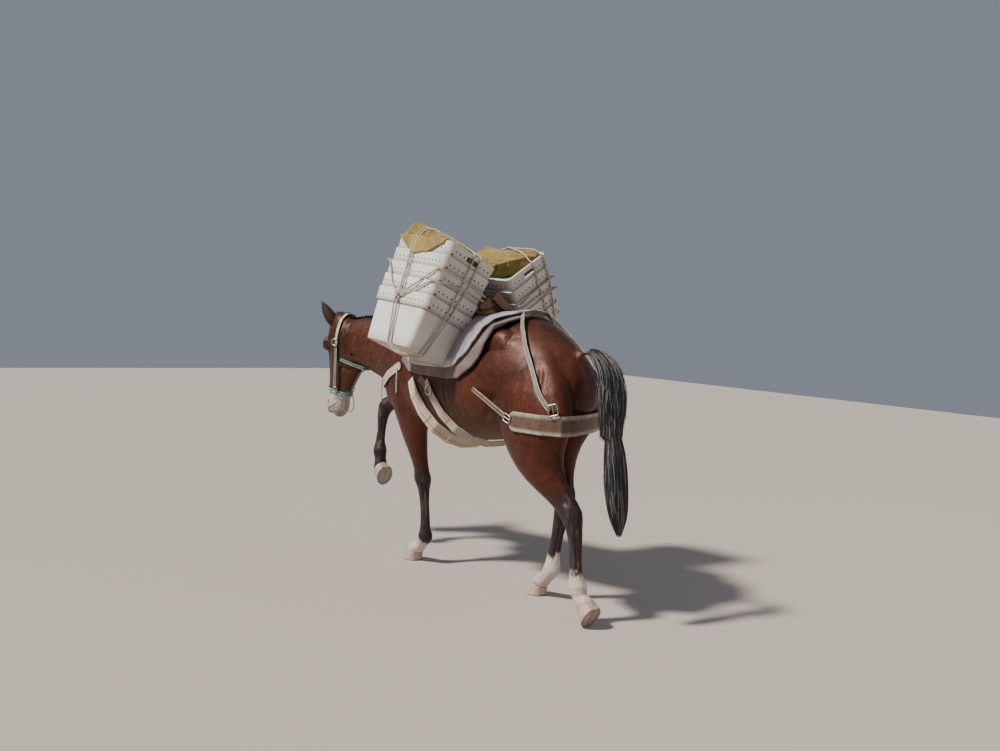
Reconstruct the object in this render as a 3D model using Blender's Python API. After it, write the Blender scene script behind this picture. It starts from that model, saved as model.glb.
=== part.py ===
"""Pack mule at life size, as a still model.

A bay mule steps up with its right foreleg lifted and its left hind leg pushing
off on the toe.  It carries two stacks of nested plastic tubs on a packsaddle.
The mule faces +X, its left side is +Y and the floor is Z = 0.  Sizes are metres.
"""
import math
import random

import bmesh
import bpy
from mathutils import Matrix, Vector
from mathutils.bvhtree import BVHTree

# The body is laid out with X = 0 under the saddle, then moved so that the
# middle of the whole model's box stands over the origin.
CENTRE_X = 0.002
CENTRE_Y = -0.0290
GAP = 0.0003

WITHERS_HEIGHT = 1.45
POLL = Vector((1.089, 0.105, 1.325))
HEAD_TILT = 1.0
HEAD_YAW = 10.0
HEAD_LENGTH = 0.58
EYE_RADIUS = 0.021
EYE_PLACE = (0.047, 0.073, -0.170)
EAR_LENGTH = 0.205
EAR_WIDTH = 0.072
# Where each ear points and where its cup opens: the right ear is turned out.
EAR_WAYS = {1: Vector((0.131, 0.017, 0.134)), -1: Vector((0.58, -0.80, 0.15))}
EAR_MOUTHS = {1: Vector((0.70, 0.30, -0.64)), -1: Vector((0.50, 0.10, -0.85))}

FORELEG_CUT = 0.735
HINDLEG_CUT = 0.765

LEG_SIDES = 10
HOOF_LENGTH = 0.126
HOOF_WIDTH = 0.108
HOOF_HEIGHT = 0.074

TAIL_ROOT = Vector((-0.865, 0.0, 1.248))
TAIL_TIP_HEIGHT = 0.43
# The hair has a core this share of the way out, and locks from there to the outline.
TAIL_CORE = 0.40
LOCK_THICKNESS = 0.0065
LOCK_SEED = 11

TUB_RIM_LENGTH = 0.445
TUB_RIM_WIDTH = 0.330
TUB_BASE_LENGTH = 0.367
TUB_BASE_WIDTH = 0.270
TUB_HEIGHT = 0.280
TUB_BAND = 0.0725
TUB_WALL = 0.004
TUB_COUNT = 5
TUB_CORNER = 0.032
# Middle of each stack's base, then its lean inwards, pitch and turn in degrees.
STACKS = {
    1: ((-0.013, 0.403, 1.191), 22.0, -5.3, 2.5),
    -1: ((0.038, -0.4564, 1.187), 30.7, -2.3, -8.0),
}
ROPE_RADIUS = 0.0045
# Where the knot sits on the outer face: along the stack and up it.
KNOT = (0.010, 0.240)
STACK_TOP = (TUB_COUNT - 1) * TUB_BAND + TUB_HEIGHT
ROPE_END = 0.008

UP = Vector((0.0, 0.0, 1.0))
LEFT = Vector((0.0, 1.0, 0.0))


# Scene, materials and meshes

def clear_scene():
    for thing in list(bpy.data.objects):
        bpy.data.objects.remove(thing, do_unlink=True)


def material(name, colour, roughness=0.6, metallic=0.0):
    made = bpy.data.materials.new(name)
    made.use_nodes = True
    shader = made.node_tree.nodes["Principled BSDF"]
    shader.inputs["Base Color"].default_value = (*colour, 1.0)
    shader.inputs["Roughness"].default_value = roughness
    shader.inputs["Metallic"].default_value = metallic
    return made


def mesh_object(name, points, faces):
    """A closed mesh with its faces pointing out."""
    mesh = bpy.data.meshes.new(name)
    mesh.from_pydata([tuple(p) for p in points], [], faces)
    shell = bmesh.new()
    shell.from_mesh(mesh)
    bmesh.ops.recalc_face_normals(shell, faces=shell.faces)
    shell.to_mesh(mesh)
    shell.free()
    made = bpy.data.objects.new(name, mesh)
    bpy.context.scene.collection.objects.link(made)
    return made


def smooth_through(stations, steps):
    """Values of one smooth curve through the stations, steps to each span."""
    last = len(stations) - 1
    values = []
    for i in range(last):
        before = stations[max(i - 1, 0)]
        start = stations[i]
        end = stations[i + 1]
        after = stations[min(i + 2, last)]
        for k in range(steps):
            t = k / steps
            row = []
            for a, b, c, d in zip(before, start, end, after):
                row.append(0.5 * (2 * b + (c - a) * t + (2 * a - 5 * b + 4 * c - d) * t * t
                                  + (3 * b - a - 3 * c + d) * t ** 3))
            values.append(row)
    values.append(list(stations[last]))
    return values


def section(centre, side, rise, wide, above, below, count, peak=1.0, belly=1.0):
    """A ring that is an ellipse, narrowed above by peak and below by belly."""
    points = []
    for k in range(count):
        angle = 2 * math.pi * k / count
        c = math.cos(angle)
        s = math.sin(angle)
        power = peak if s > 0 else belly
        height = above if s > 0 else below
        points.append(centre + side * wide * math.copysign(abs(c) ** power, c) + rise * height * s)
    return points


def loft(name, rings):
    """A skin over the rings, closed at both ends by a fan."""
    count = len(rings[0])
    points = [p for ring in rings for p in ring]
    faces = []
    for r in range(len(rings) - 1):
        for k in range(count):
            n = (k + 1) % count
            faces.append((r * count + k, r * count + n, (r + 1) * count + n, (r + 1) * count + k))
    for r in (0, len(rings) - 1):
        middle = sum(rings[r], Vector()) / count
        points.append(middle)
        for k in range(count):
            faces.append((r * count + k, r * count + (k + 1) % count, len(points) - 1))
    return mesh_object(name, points, faces)


def apply(thing):
    graph = bpy.context.evaluated_depsgraph_get()
    mesh = bpy.data.meshes.new_from_object(thing.evaluated_get(graph))
    thing.modifiers.clear()
    thing.data = mesh


def weld(mesh, distance):
    """Triangles only, without the slivers that a cut can leave."""
    shell = bmesh.new()
    shell.from_mesh(mesh)
    bmesh.ops.remove_doubles(shell, verts=shell.verts, dist=distance)
    bmesh.ops.dissolve_degenerate(shell, edges=shell.edges, dist=distance)
    bmesh.ops.triangulate(shell, faces=shell.faces)
    welded = bpy.data.meshes.new(mesh.name)
    shell.to_mesh(welded)
    shell.free()
    return welded


def closed(mesh):
    shell = bmesh.new()
    shell.from_mesh(mesh)
    good = len(shell.faces) > 3 and all(edge.is_manifold for edge in shell.edges)
    shell.free()
    return good


def keep_largest(thing):
    """Only the closed surface with the most volume stays."""
    shell = bmesh.new()
    shell.from_mesh(thing.data)
    left = set(shell.faces)
    bodies = []
    while left:
        body = set()
        found = [left.pop()]
        while found:
            face = found.pop()
            body.add(face)
            for edge in face.edges:
                for other in edge.link_faces:
                    if other in left:
                        left.remove(other)
                        found.append(other)
        bodies.append(body)

    def volume(body):
        total = 0.0
        for face in body:
            corners = [loop.vert.co for loop in face.loops]
            for i in range(1, len(corners) - 1):
                total += corners[0].dot(corners[i].cross(corners[i + 1]))
        return total

    if len(bodies) > 1:
        kept = max(bodies, key=volume)
        spare = [face for body in bodies if body is not kept for face in body]
        bmesh.ops.delete(shell, geom=spare, context="FACES")
        shell.to_mesh(thing.data)
    shell.free()


def boolean(thing, operand, operation="DIFFERENCE"):
    """Cut, clip or join the thing by one object or by a whole collection.

    The exact solver loses most of the tail and the blanket, so it comes second.
    """
    before = thing.data
    for solver in ("MANIFOLD", "EXACT"):
        thing.data = before
        step = thing.modifiers.new("fit", "BOOLEAN")
        step.operation = operation
        step.solver = solver
        if isinstance(operand, bpy.types.Collection):
            step.operand_type = "COLLECTION"
            step.collection = operand
        else:
            step.object = operand
        apply(thing)
        cut = thing.data
        for distance in (0.00003, 0.00001, 0.000001):
            thing.data = weld(cut, distance)
            if closed(thing.data):
                return


def remove(things):
    for thing in things:
        bpy.data.objects.remove(thing, do_unlink=True)


def union(name, pieces):
    """All pieces as one closed body."""
    base = pieces[0]
    group = bpy.data.collections.new(name + "_pieces")
    for piece in pieces[1:]:
        group.objects.link(piece)
    boolean(base, group, "UNION")
    remove(pieces[1:])
    bpy.data.collections.remove(group)
    base.name = name
    keep_largest(base)
    return base


def copy_of(thing, name):
    made = thing.copy()
    made.data = thing.data.copy()
    made.name = name
    bpy.context.scene.collection.objects.link(made)
    return made


def grown(thing, distance):
    """A copy whose surface stands out by the distance."""
    made = copy_of(thing, thing.name + "_grown")
    for vertex, normal in zip(made.data.vertices, [v.normal.copy() for v in thing.data.vertices]):
        vertex.co += normal * distance
    return made


def clear_of(thing, others, distance=0.0005):
    """The thing cut back so that it stays just off the others."""
    for other in others:
        tool = grown(other, distance)
        boolean(thing, tool)
        remove([tool])
    keep_largest(thing)
    return thing


def box(name, low, high):
    corners = [(x, y, z) for x in (low[0], high[0]) for y in (low[1], high[1]) for z in (low[2], high[2])]
    faces = [(0, 1, 3, 2), (4, 6, 7, 5), (0, 4, 5, 1), (2, 3, 7, 6), (0, 2, 6, 4), (1, 5, 7, 3)]
    return mesh_object(name, corners, faces)


def ball(name, centre, sizes, turns=16, rows=8):
    """An ellipsoid with half-axes given by sizes."""
    rings = []
    for r in range(1, rows):
        polar = math.pi * r / rows
        reach = math.sin(polar)
        middle = Vector(centre) + UP * sizes[2] * math.cos(polar)
        rings.append(section(middle, LEFT, Vector((1, 0, 0)), sizes[1] * reach, sizes[0] * reach,
                             sizes[0] * reach, turns))
    count = turns
    points = [p for ring in rings for p in ring]
    points += [Vector(centre) + UP * sizes[2], Vector(centre) - UP * sizes[2]]
    faces = []
    for r in range(len(rings) - 1):
        for k in range(count):
            n = (k + 1) % count
            faces.append((r * count + k, r * count + n, (r + 1) * count + n, (r + 1) * count + k))
    top = len(points) - 2
    for k in range(count):
        n = (k + 1) % count
        faces.append((k, n, top))
        faces.append(((len(rings) - 1) * count + k, (len(rings) - 1) * count + n, top + 1))
    return mesh_object(name, points, faces)


def moved(thing, matrix):
    thing.data.transform(matrix)
    return thing


def sweep(name, path, radius, sides=8, loop=False):
    """A round bar along the path, of one radius or a list of radii."""
    count = len(path)
    rings = []
    side = None
    for i, point in enumerate(path):
        ahead = path[(i + 1) % count] if loop else path[min(i + 1, count - 1)]
        behind = path[i - 1] if loop else path[max(i - 1, 0)]
        along = (ahead - behind).normalized()
        if side is None:
            side = along.orthogonal().normalized()
        side = (side - along * side.dot(along)).normalized()
        size = radius[i] if isinstance(radius, list) else radius
        rings.append(section(point, side, along.cross(side), size, size, size, sides))
    if not loop:
        return loft(name, rings)
    points = [p for ring in rings for p in ring]
    faces = []
    for r in range(count):
        after = (r + 1) % count
        for k in range(sides):
            n = (k + 1) % sides
            faces.append((r * sides + k, r * sides + n, after * sides + n, after * sides + k))
    return mesh_object(name, points, faces)


def world_tree(things):
    """One search tree over the surfaces of several objects."""
    points = []
    faces = []
    for thing in things:
        first = len(points)
        points += [thing.matrix_world @ v.co for v in thing.data.vertices]
        faces += [[first + i for i in face.vertices] for face in thing.data.polygons]
    return BVHTree.FromPolygons(points, faces)


def slab(name, grid, normals, thickness, sink=0.003):
    """A closed sheet over a grid of points, thick outwards and sunk inwards."""
    rows = len(grid)
    columns = len(grid[0])
    points = []
    for depth in (-sink, thickness):
        for r in range(rows):
            for c in range(columns):
                points.append(grid[r][c] + normals[r][c] * depth)
    half = rows * columns
    faces = []
    for r in range(rows - 1):
        for c in range(columns - 1):
            a = r * columns + c
            faces.append((a, a + 1, a + columns + 1, a + columns))
            faces.append((half + a, half + a + columns, half + a + columns + 1, half + a + 1))
    border = [c for c in range(columns)]
    border += [r * columns + columns - 1 for r in range(1, rows)]
    border += [(rows - 1) * columns + c for c in range(columns - 2, -1, -1)]
    border += [r * columns for r in range(rows - 2, 0, -1)]
    for i, a in enumerate(border):
        b = border[(i + 1) % len(border)]
        faces.append((a, b, half + b, half + a))
    return mesh_object(name, points, faces)


def strap(name, guide, width, thickness, on, steps=4, across=2, clear=()):
    """A strap that follows the guide points over the surfaces it lies on."""
    tree = world_tree(on)
    centre = []
    for row in smooth_through([tuple(p) for p in guide], steps):
        place, normal = tree.find_nearest(Vector(row))[:2]
        centre.append((place, normal))
    grid = []
    normals = []
    for i, (place, normal) in enumerate(centre):
        ahead = centre[min(i + 1, len(centre) - 1)][0]
        behind = centre[max(i - 1, 0)][0]
        side = normal.cross((ahead - behind).normalized()).normalized()
        row = []
        row_normals = []
        for k in range(across + 1):
            offset = width * (k / across - 0.5)
            spot, out = tree.find_nearest(place + side * offset)[:2]
            row.append(spot)
            row_normals.append((out + normal).normalized())
        grid.append(row)
        normals.append(row_normals)
    made = slab(name, grid, normals, thickness)
    return clear_of(made, list(on) + list(clear))


# The flesh: rings are given where the outline changes

def trunk():
    """Rings across the body: x, top, widest height, bottom, half width, peak."""
    stations = [
        (0.565, 1.16, 1.02, 0.90, 0.070, 1.00),
        (0.520, 1.26, 1.02, 0.845, 0.140, 1.00),
        (0.430, 1.35, 1.01, 0.800, 0.190, 1.05),
        (0.310, 1.415, 1.00, 0.775, 0.215, 1.25),
        (0.180, WITHERS_HEIGHT, 0.99, 0.755, 0.235, 1.45),
        (0.020, 1.415, 0.99, 0.745, 0.250, 1.20),
        (-0.150, 1.375, 0.99, 0.742, 0.266, 0.95),
        (-0.300, 1.380, 1.00, 0.755, 0.275, 0.85),
        (-0.450, 1.395, 1.04, 0.790, 0.264, 0.90),
        (-0.590, 1.398, 1.06, 0.850, 0.246, 1.05),
        (-0.720, 1.345, 1.05, 0.880, 0.222, 1.20),
        (-0.830, 1.275, 1.04, 0.900, 0.180, 1.25),
        (-0.900, 1.200, 1.03, 0.930, 0.120, 1.20),
        (-0.935, 1.130, 1.03, 0.970, 0.060, 1.00),
    ]
    rings = []
    for x, top, wide_at, bottom, wide, peak in smooth_through(stations, 2):
        rings.append(section(Vector((x, 0, wide_at)), LEFT, UP, wide, top - wide_at,
                             wide_at - bottom, 18, peak, 0.9))
    return loft("trunk", rings)


def neck_body():
    """Rings across the neck: x, y, middle height, half depth, half width, lean."""
    stations = [
        (0.200, 0.000, 1.130, 0.250, 0.150, 0),
        (0.380, 0.000, 1.135, 0.255, 0.145, 0),
        (0.520, 0.002, 1.150, 0.240, 0.122, 4),
        (0.660, 0.018, 1.172, 0.203, 0.100, 8),
        (0.790, 0.046, 1.190, 0.168, 0.088, 8),
        (0.900, 0.070, 1.198, 0.148, 0.080, 8),
        (1.030, 0.094, 1.205, 0.118, 0.066, 8),
    ]
    rings = []
    for x, y, z, deep, wide, lean in smooth_through(stations, 2):
        tilt = math.radians(lean)
        rise = Vector((-math.sin(tilt), 0, math.cos(tilt)))
        rings.append(section(Vector((x, y, z)), LEFT, rise, wide, deep, deep, 16, 1.25, 0.85))
    return loft("neck_body", rings)


def limb_rings(stations):
    """Rings down a leg: x, y, z, half depth, half width, lean back in degrees."""
    rings = []
    for x, y, z, deep, wide, lean in smooth_through(stations, 2):
        angle = math.radians(lean)
        fore = Vector((math.cos(angle), 0, -math.sin(angle)))
        rings.append(section(Vector((x, y, z)), LEFT, fore, wide, deep, deep, LEG_SIDES, 0.92, 0.92))
    return rings


FORELEG_LEFT = [
    (0.330, 0.125, 1.080, 0.130, 0.070, 0),
    (0.310, 0.145, 0.960, 0.150, 0.080, 0),
    (0.275, 0.140, 0.850, 0.130, 0.080, 0),
    (0.262, 0.125, 0.740, 0.098, 0.064, 0),
    (0.252, 0.098, 0.620, 0.066, 0.049, 0),
    (0.246, 0.074, 0.530, 0.049, 0.042, 0),
    (0.246, 0.062, 0.470, 0.051, 0.047, 0),
    (0.238, 0.055, 0.400, 0.037, 0.033, 0),
    (0.230, 0.049, 0.300, 0.032, 0.027, 0),
    (0.226, 0.044, 0.205, 0.035, 0.030, -2),
    (0.226, 0.041, 0.150, 0.045, 0.040, -12),
    (0.258, 0.040, 0.106, 0.035, 0.036, -38),
]
FORELEG_RIGHT = [
    (0.330, -0.125, 1.090, 0.125, 0.070, 0),
    (0.370, -0.148, 0.990, 0.140, 0.078, -15),
    (0.430, -0.145, 0.905, 0.118, 0.076, -45),
    (0.520, -0.125, 0.865, 0.085, 0.064, -72),
    (0.620, -0.090, 0.852, 0.062, 0.052, -85),
    (0.715, -0.055, 0.848, 0.049, 0.044, -80),
    (0.775, -0.035, 0.822, 0.051, 0.047, -42),
    (0.795, -0.026, 0.760, 0.040, 0.036, -4),
    (0.793, -0.018, 0.680, 0.031, 0.027, 2),
    (0.788, -0.008, 0.610, 0.034, 0.030, 6),
    (0.780, -0.002, 0.556, 0.045, 0.040, 14),
    (0.764, 0.002, 0.508, 0.035, 0.036, 16),
]
HINDLEG_LEFT = [
    (-0.690, 0.095, 1.270, 0.080, 0.045, 0),
    (-0.700, 0.118, 1.180, 0.165, 0.078, 0),
    (-0.735, 0.148, 1.060, 0.220, 0.105, 0),
    (-0.760, 0.158, 0.940, 0.235, 0.112, 0),
    (-0.775, 0.162, 0.830, 0.205, 0.102, 8),
    (-0.810, 0.155, 0.730, 0.150, 0.082, 22),
    (-0.870, 0.138, 0.640, 0.095, 0.062, 34),
    (-0.938, 0.120, 0.565, 0.064, 0.049, 34),
    (-0.990, 0.108, 0.505, 0.063, 0.046, 22),
    (-1.012, 0.100, 0.420, 0.044, 0.036, 6),
    (-1.018, 0.092, 0.320, 0.036, 0.030, 2),
    (-1.022, 0.085, 0.225, 0.038, 0.033, 2),
    (-1.028, 0.080, 0.172, 0.048, 0.042, 14),
    (-1.050, 0.078, 0.125, 0.037, 0.037, 32),
]
HINDLEG_RIGHT = [
    (-0.650, -0.095, 1.270, 0.080, 0.045, 0),
    (-0.660, -0.118, 1.180, 0.160, 0.078, 0),
    (-0.655, -0.148, 1.060, 0.195, 0.105, 0),
    (-0.645, -0.158, 0.940, 0.200, 0.112, 0),
    (-0.625, -0.162, 0.830, 0.175, 0.100, 8),
    (-0.630, -0.150, 0.730, 0.130, 0.080, 22),
    (-0.665, -0.130, 0.640, 0.085, 0.060, 30),
    (-0.702, -0.115, 0.565, 0.062, 0.048, 24),
    (-0.722, -0.106, 0.505, 0.062, 0.046, 8),
    (-0.708, -0.100, 0.420, 0.044, 0.036, -5),
    (-0.690, -0.097, 0.310, 0.036, 0.030, -8),
    (-0.674, -0.095, 0.210, 0.038, 0.033, -8),
    (-0.668, -0.095, 0.155, 0.047, 0.042, -18),
    (-0.636, -0.095, 0.110, 0.036, 0.037, -40),
]
# Each hoof: middle of the sole and how far its heel is lifted, in degrees.
HOOF_PLACES = {
    "hoof_front_left": ((0.338, 0.040, 0.000), 0),
    "hoof_front_right": ((0.702, 0.006, 0.415), 76),
    "hoof_hind_left": ((-1.128, 0.078, 0.0490), 60),
    "hoof_hind_right": ((-0.556, -0.095, 0.000), 0),
}


def hoof_matrix(name):
    place, lift = HOOF_PLACES[name]
    return Matrix.Translation(place) @ Matrix.Rotation(math.radians(lift), 4, "Y")


def coronet(grow=0.0, lower=0.0):
    """The sloping ring where hoof and hair meet, high in front, seen from the sole."""
    middle = Vector((-0.020, 0, HOOF_HEIGHT * 0.80 - lower))
    slope = math.radians(16)
    fore = Vector((math.cos(slope), 0, math.sin(slope)))
    return section(middle, LEFT, fore, HOOF_WIDTH * 0.43 + grow, HOOF_LENGTH * 0.37 + grow,
                   HOOF_LENGTH * 0.40 + grow, LEG_SIDES)


def hoof(name):
    """A hoof wall that widens from the coronet to a flat sole, with a frog cleft."""
    sole = []
    for k in range(LEG_SIDES):
        angle = 2 * math.pi * k / LEG_SIDES
        fore = HOOF_LENGTH / 2 * math.sin(angle)
        side = HOOF_WIDTH / 2 * math.cos(angle)
        fore = max(fore, -HOOF_LENGTH * 0.44)
        sole.append(Vector((fore, side, 0.0)))
    rim = [p * 0.985 + UP * 0.004 for p in sole]
    foot = [Vector((p.x, p.y, 0.0)) for p in [q * 0.955 for q in sole]]
    made = loft(name, [foot, rim, coronet()])
    groove = []
    for reach, half, deep in ((-0.050, 0.017, 0.008), (-0.020, 0.009, 0.006), (0.016, 0.002, 0.002)):
        groove.append([Vector((reach * HOOF_LENGTH / 0.12, half, -0.002)),
                       Vector((reach * HOOF_LENGTH / 0.12, 0, deep)),
                       Vector((reach * HOOF_LENGTH / 0.12, -half, -0.002))])
    cleft = loft(name + "_cleft", groove)
    boolean(made, cleft)
    remove([cleft])
    moved(made, hoof_matrix(name))
    place, lift = HOOF_PLACES[name]
    if lift:
        ground = box("ground", (place[0] - 0.2, place[1] - 0.2, -0.1), (place[0] + 0.2, place[1] + 0.2, 0.0))
        boolean(made, ground)
        remove([ground])
    return made


def leg(name, stations, hoof_name):
    """A whole leg: its rings end just above the coronet of its hoof."""
    rings = limb_rings(stations)
    matrix = hoof_matrix(hoof_name)
    seat = [matrix @ p for p in coronet(-0.001, -GAP)]
    middle = sum(seat, Vector()) / len(seat)
    half_way = [a.lerp(b, 0.6) + (b - middle) * 0.08 for a, b in zip(rings[-1], seat)]
    return loft(name, rings + [half_way, seat])


# The head, in its own frame: X towards the face, Y left, Z up to the poll

def head_matrix():
    return (Matrix.Translation(POLL) @ Matrix.Rotation(math.radians(HEAD_YAW), 4, "Z")
            @ Matrix.Rotation(math.radians(-HEAD_TILT), 4, "Y"))


def head_rings():
    """Rings across the head: way down from the poll, face, jaw, half width, jaw narrowing."""
    stations = [
        (-0.030, 0.030, -0.060, 0.040, 1.0),
        (0.000, 0.052, -0.105, 0.064, 1.0),
        (0.060, 0.072, -0.160, 0.083, 1.0),
        (0.120, 0.083, -0.198, 0.090, 1.1),
        (0.180, 0.084, -0.222, 0.084, 1.25),
        (0.250, 0.079, -0.224, 0.070, 1.3),
        (0.320, 0.072, -0.190, 0.060, 1.2),
        (0.390, 0.067, -0.146, 0.054, 1.05),
        (0.450, 0.065, -0.113, 0.054, 0.95),
        (0.505, 0.064, -0.088, 0.060, 0.85),
        (0.550, 0.056, -0.084, 0.060, 0.85),
        (0.585, 0.036, -0.070, 0.048, 0.85),
        (0.602, 0.012, -0.045, 0.028, 0.9),
    ]
    rings = []
    for down, face, jaw, wide, narrow in smooth_through(stations, 2):
        middle = face - (face - jaw) * 0.42
        down *= HEAD_LENGTH / 0.602
        rings.append(section(Vector((middle, 0, -down)), LEFT, Vector((1, 0, 0)), wide,
                             face - middle, middle - jaw, 16, 0.8, narrow))
    return rings


def lids(side):
    """An almond rim round the eye, thicker above."""
    eye = Vector((EYE_PLACE[0], side * EYE_PLACE[1], EYE_PLACE[2]))
    outward = Vector((0.30, side * 0.95, 0.0)).normalized()
    along = UP.cross(outward).normalized()
    path = []
    radii = []
    for k in range(12):
        angle = 2 * math.pi * k / 12
        wide = 0.96 * math.cos(angle)
        high = 0.62 * math.sin(angle) * (1.0 - 0.25 * abs(math.cos(angle)))
        out = math.sqrt(max(0.0, 1.0 - wide * wide * 0.85 - high * high))
        path.append(eye + (along * wide + UP * high + outward * out) * (EYE_RADIUS * 1.05))
        radii.append(0.0046 if high > 0 else 0.0036)
    return sweep("lid", path, radii, 4, loop=True)


def nostril(side):
    """The rim of one nostril and the hollow inside it."""
    centre = Vector((0.044, side * 0.042, -0.515))
    outward = Vector((0.62, side * 0.78, -0.1)).normalized()
    along = Vector((0.35, 0, 0.94))
    along = (along - outward * along.dot(outward)).normalized()
    across = outward.cross(along)
    path = []
    for k in range(10):
        angle = 2 * math.pi * k / 10
        path.append(centre + along * 0.023 * math.cos(angle)
                    + across * 0.0135 * math.sin(angle) * (1 - 0.25 * math.cos(angle)))
    rim = sweep("nostril_rim", path, 0.0048, 4, loop=True)
    hollow = ball("nostril_hollow", (0, 0, 0), (0.0115, 0.024, 0.020), 10, 5)
    turn = Matrix((across, outward, along)).transposed().to_4x4()
    moved(hollow, Matrix.Translation(centre + outward * 0.004) @ turn)
    return rim, hollow


def mouth_groove(tree):
    """A groove round the lips, from one corner to the other."""
    path = []
    for k in range(11):
        angle = math.radians(-128 + 256 * k / 10)
        back = (1 - math.cos(angle)) / 2
        height = -0.572 + 0.070 * back
        centre = Vector((-0.012, 0, height))
        outward = Vector((math.cos(angle), math.sin(angle), 0))
        hit = tree.ray_cast(centre + outward * 0.3, -outward)[0]
        path.append(hit)
    return sweep("mouth", path, 0.0032, 3)


def head_details(head):
    """Eye ridges, lids, nostrils, lips and the line of the mouth on the head."""
    frame = head_matrix()
    added = []
    hollows = []
    for side in (1, -1):
        added.append(ball("brow", (0.056, side * 0.066, -0.156), (0.030, 0.026, 0.040), 10, 5))
        added.append(ball("cheek", (-0.110, side * 0.042, -0.205), (0.100, 0.028, 0.095), 10, 5))
        added.append(lids(side))
        rim, hollow = nostril(side)
        added.append(rim)
        hollows.append(hollow)
    added.append(ball("upper_lip", (0.030, 0, -0.552), (0.042, 0.052, 0.036), 10, 5))
    added.append(ball("lower_lip", (-0.022, 0, -0.575), (0.040, 0.042, 0.032), 10, 5))
    added.append(ball("chin", (-0.058, 0, -0.548), (0.030, 0.034, 0.034), 10, 5))
    for piece in added:
        moved(piece, frame)
    whole = union("head", [head] + added)
    sockets = []
    for side in (1, -1):
        socket = ball("socket", (EYE_PLACE[0], side * EYE_PLACE[1], EYE_PLACE[2]),
                      [EYE_RADIUS + GAP] * 3, 12, 6)
        sockets.append(moved(socket, frame))
    for hollow in hollows:
        moved(hollow, frame)
    local = copy_of(whole, "head_local")
    local.data.transform(frame.inverted())
    groove = mouth_groove(world_tree([local]))
    remove([local])
    moved(groove, frame)
    for tool in sockets + hollows + [groove]:
        boolean(whole, tool)
    remove(sockets + hollows + [groove])
    keep_largest(whole)
    return whole


def eye(name, side):
    made = ball(name, (EYE_PLACE[0], side * EYE_PLACE[1], EYE_PLACE[2]), [EYE_RADIUS] * 3, 12, 6)
    return moved(made, head_matrix())


def ear(name, root, tip, opening):
    """A cupped ear: crescent rings from the root to the tip, open to one side."""
    along = (tip - root).normalized()
    opening = (opening - along * opening.dot(along)).normalized()
    across = along.cross(opening)
    length = (tip - root).length
    rings = []
    arc = 7
    shape = [(-0.10, 0.40, 60), (0.05, 0.60, 40), (0.20, 0.88, 55), (0.38, 1.00, 75),
             (0.58, 0.88, 80), (0.78, 0.60, 80), (0.92, 0.28, 80), (1.0, 0.07, 80)]
    for way, wide, mouth in shape:
        radius = EAR_WIDTH / 2 * wide
        wall = min(0.0055, radius * 0.5)
        half = math.radians(180 - mouth / 2 - 8)
        outer = []
        inner = []
        for k in range(arc):
            angle = math.pi - half + 2 * half * k / (arc - 1)
            spoke = opening * math.cos(angle) + across * math.sin(angle)
            outer.append(root + along * length * way + spoke * radius)
            inner.append(root + along * length * way + spoke * (radius - wall))
        rings.append(outer + inner[::-1])
    return loft_strips(name, rings, arc)


def loft_strips(name, rings, arc):
    """A skin over crescent rings, whose ends are closed by a strip between the arcs."""
    count = len(rings[0])
    points = [p for ring in rings for p in ring]
    faces = []
    for r in range(len(rings) - 1):
        for k in range(count):
            n = (k + 1) % count
            faces.append((r * count + k, r * count + n, (r + 1) * count + n, (r + 1) * count + k))
    for r in (0, len(rings) - 1):
        for k in range(arc - 1):
            faces.append((r * count + k, r * count + k + 1, r * count + count - 2 - k,
                          r * count + count - 1 - k))
    return mesh_object(name, points, faces)


def region(name, point, normal, half_sizes, gap=0.0):
    """A box whose one face stands at the point and whose body lies along the normal."""
    normal = Vector(normal).normalized()
    side = LEFT
    rise = normal.cross(side).normalized()
    side = rise.cross(normal).normalized()
    made = box(name, (-gap, -half_sizes[1], -half_sizes[2]), (half_sizes[0], half_sizes[1], half_sizes[2]))
    matrix = Matrix((normal, side, rise)).transposed().to_4x4()
    return moved(made, Matrix.Translation(point) @ matrix)


# Where the flesh is parted: a point on each cut, the way out of the torso and the box beyond it.
NECK_CUT = ((0.560, 0.0, 1.190), (0.855, 0, 0.520), (0.70, 0.40, 0.42))
HEAD_CUT = ((0.930, 0.080, 1.226), (0.894, 0.158, -0.419), (0.60, 0.40, 0.70))
LEGS = {
    "foreleg_left": (FORELEG_LEFT, "hoof_front_left", (0.250, 0.140, FORELEG_CUT), (0, 0, -1)),
    "foreleg_right": (FORELEG_RIGHT, "hoof_front_right", (0.575, -0.108, 0.862), (0.96, 0.20, -0.15)),
    "hindleg_left": (HINDLEG_LEFT, "hoof_hind_left", (-0.800, 0.160, HINDLEG_CUT), (0, 0, -1)),
    "hindleg_right": (HINDLEG_RIGHT, "hoof_hind_right", (-0.640, -0.160, HINDLEG_CUT), (0, 0, -1)),
}


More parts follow.
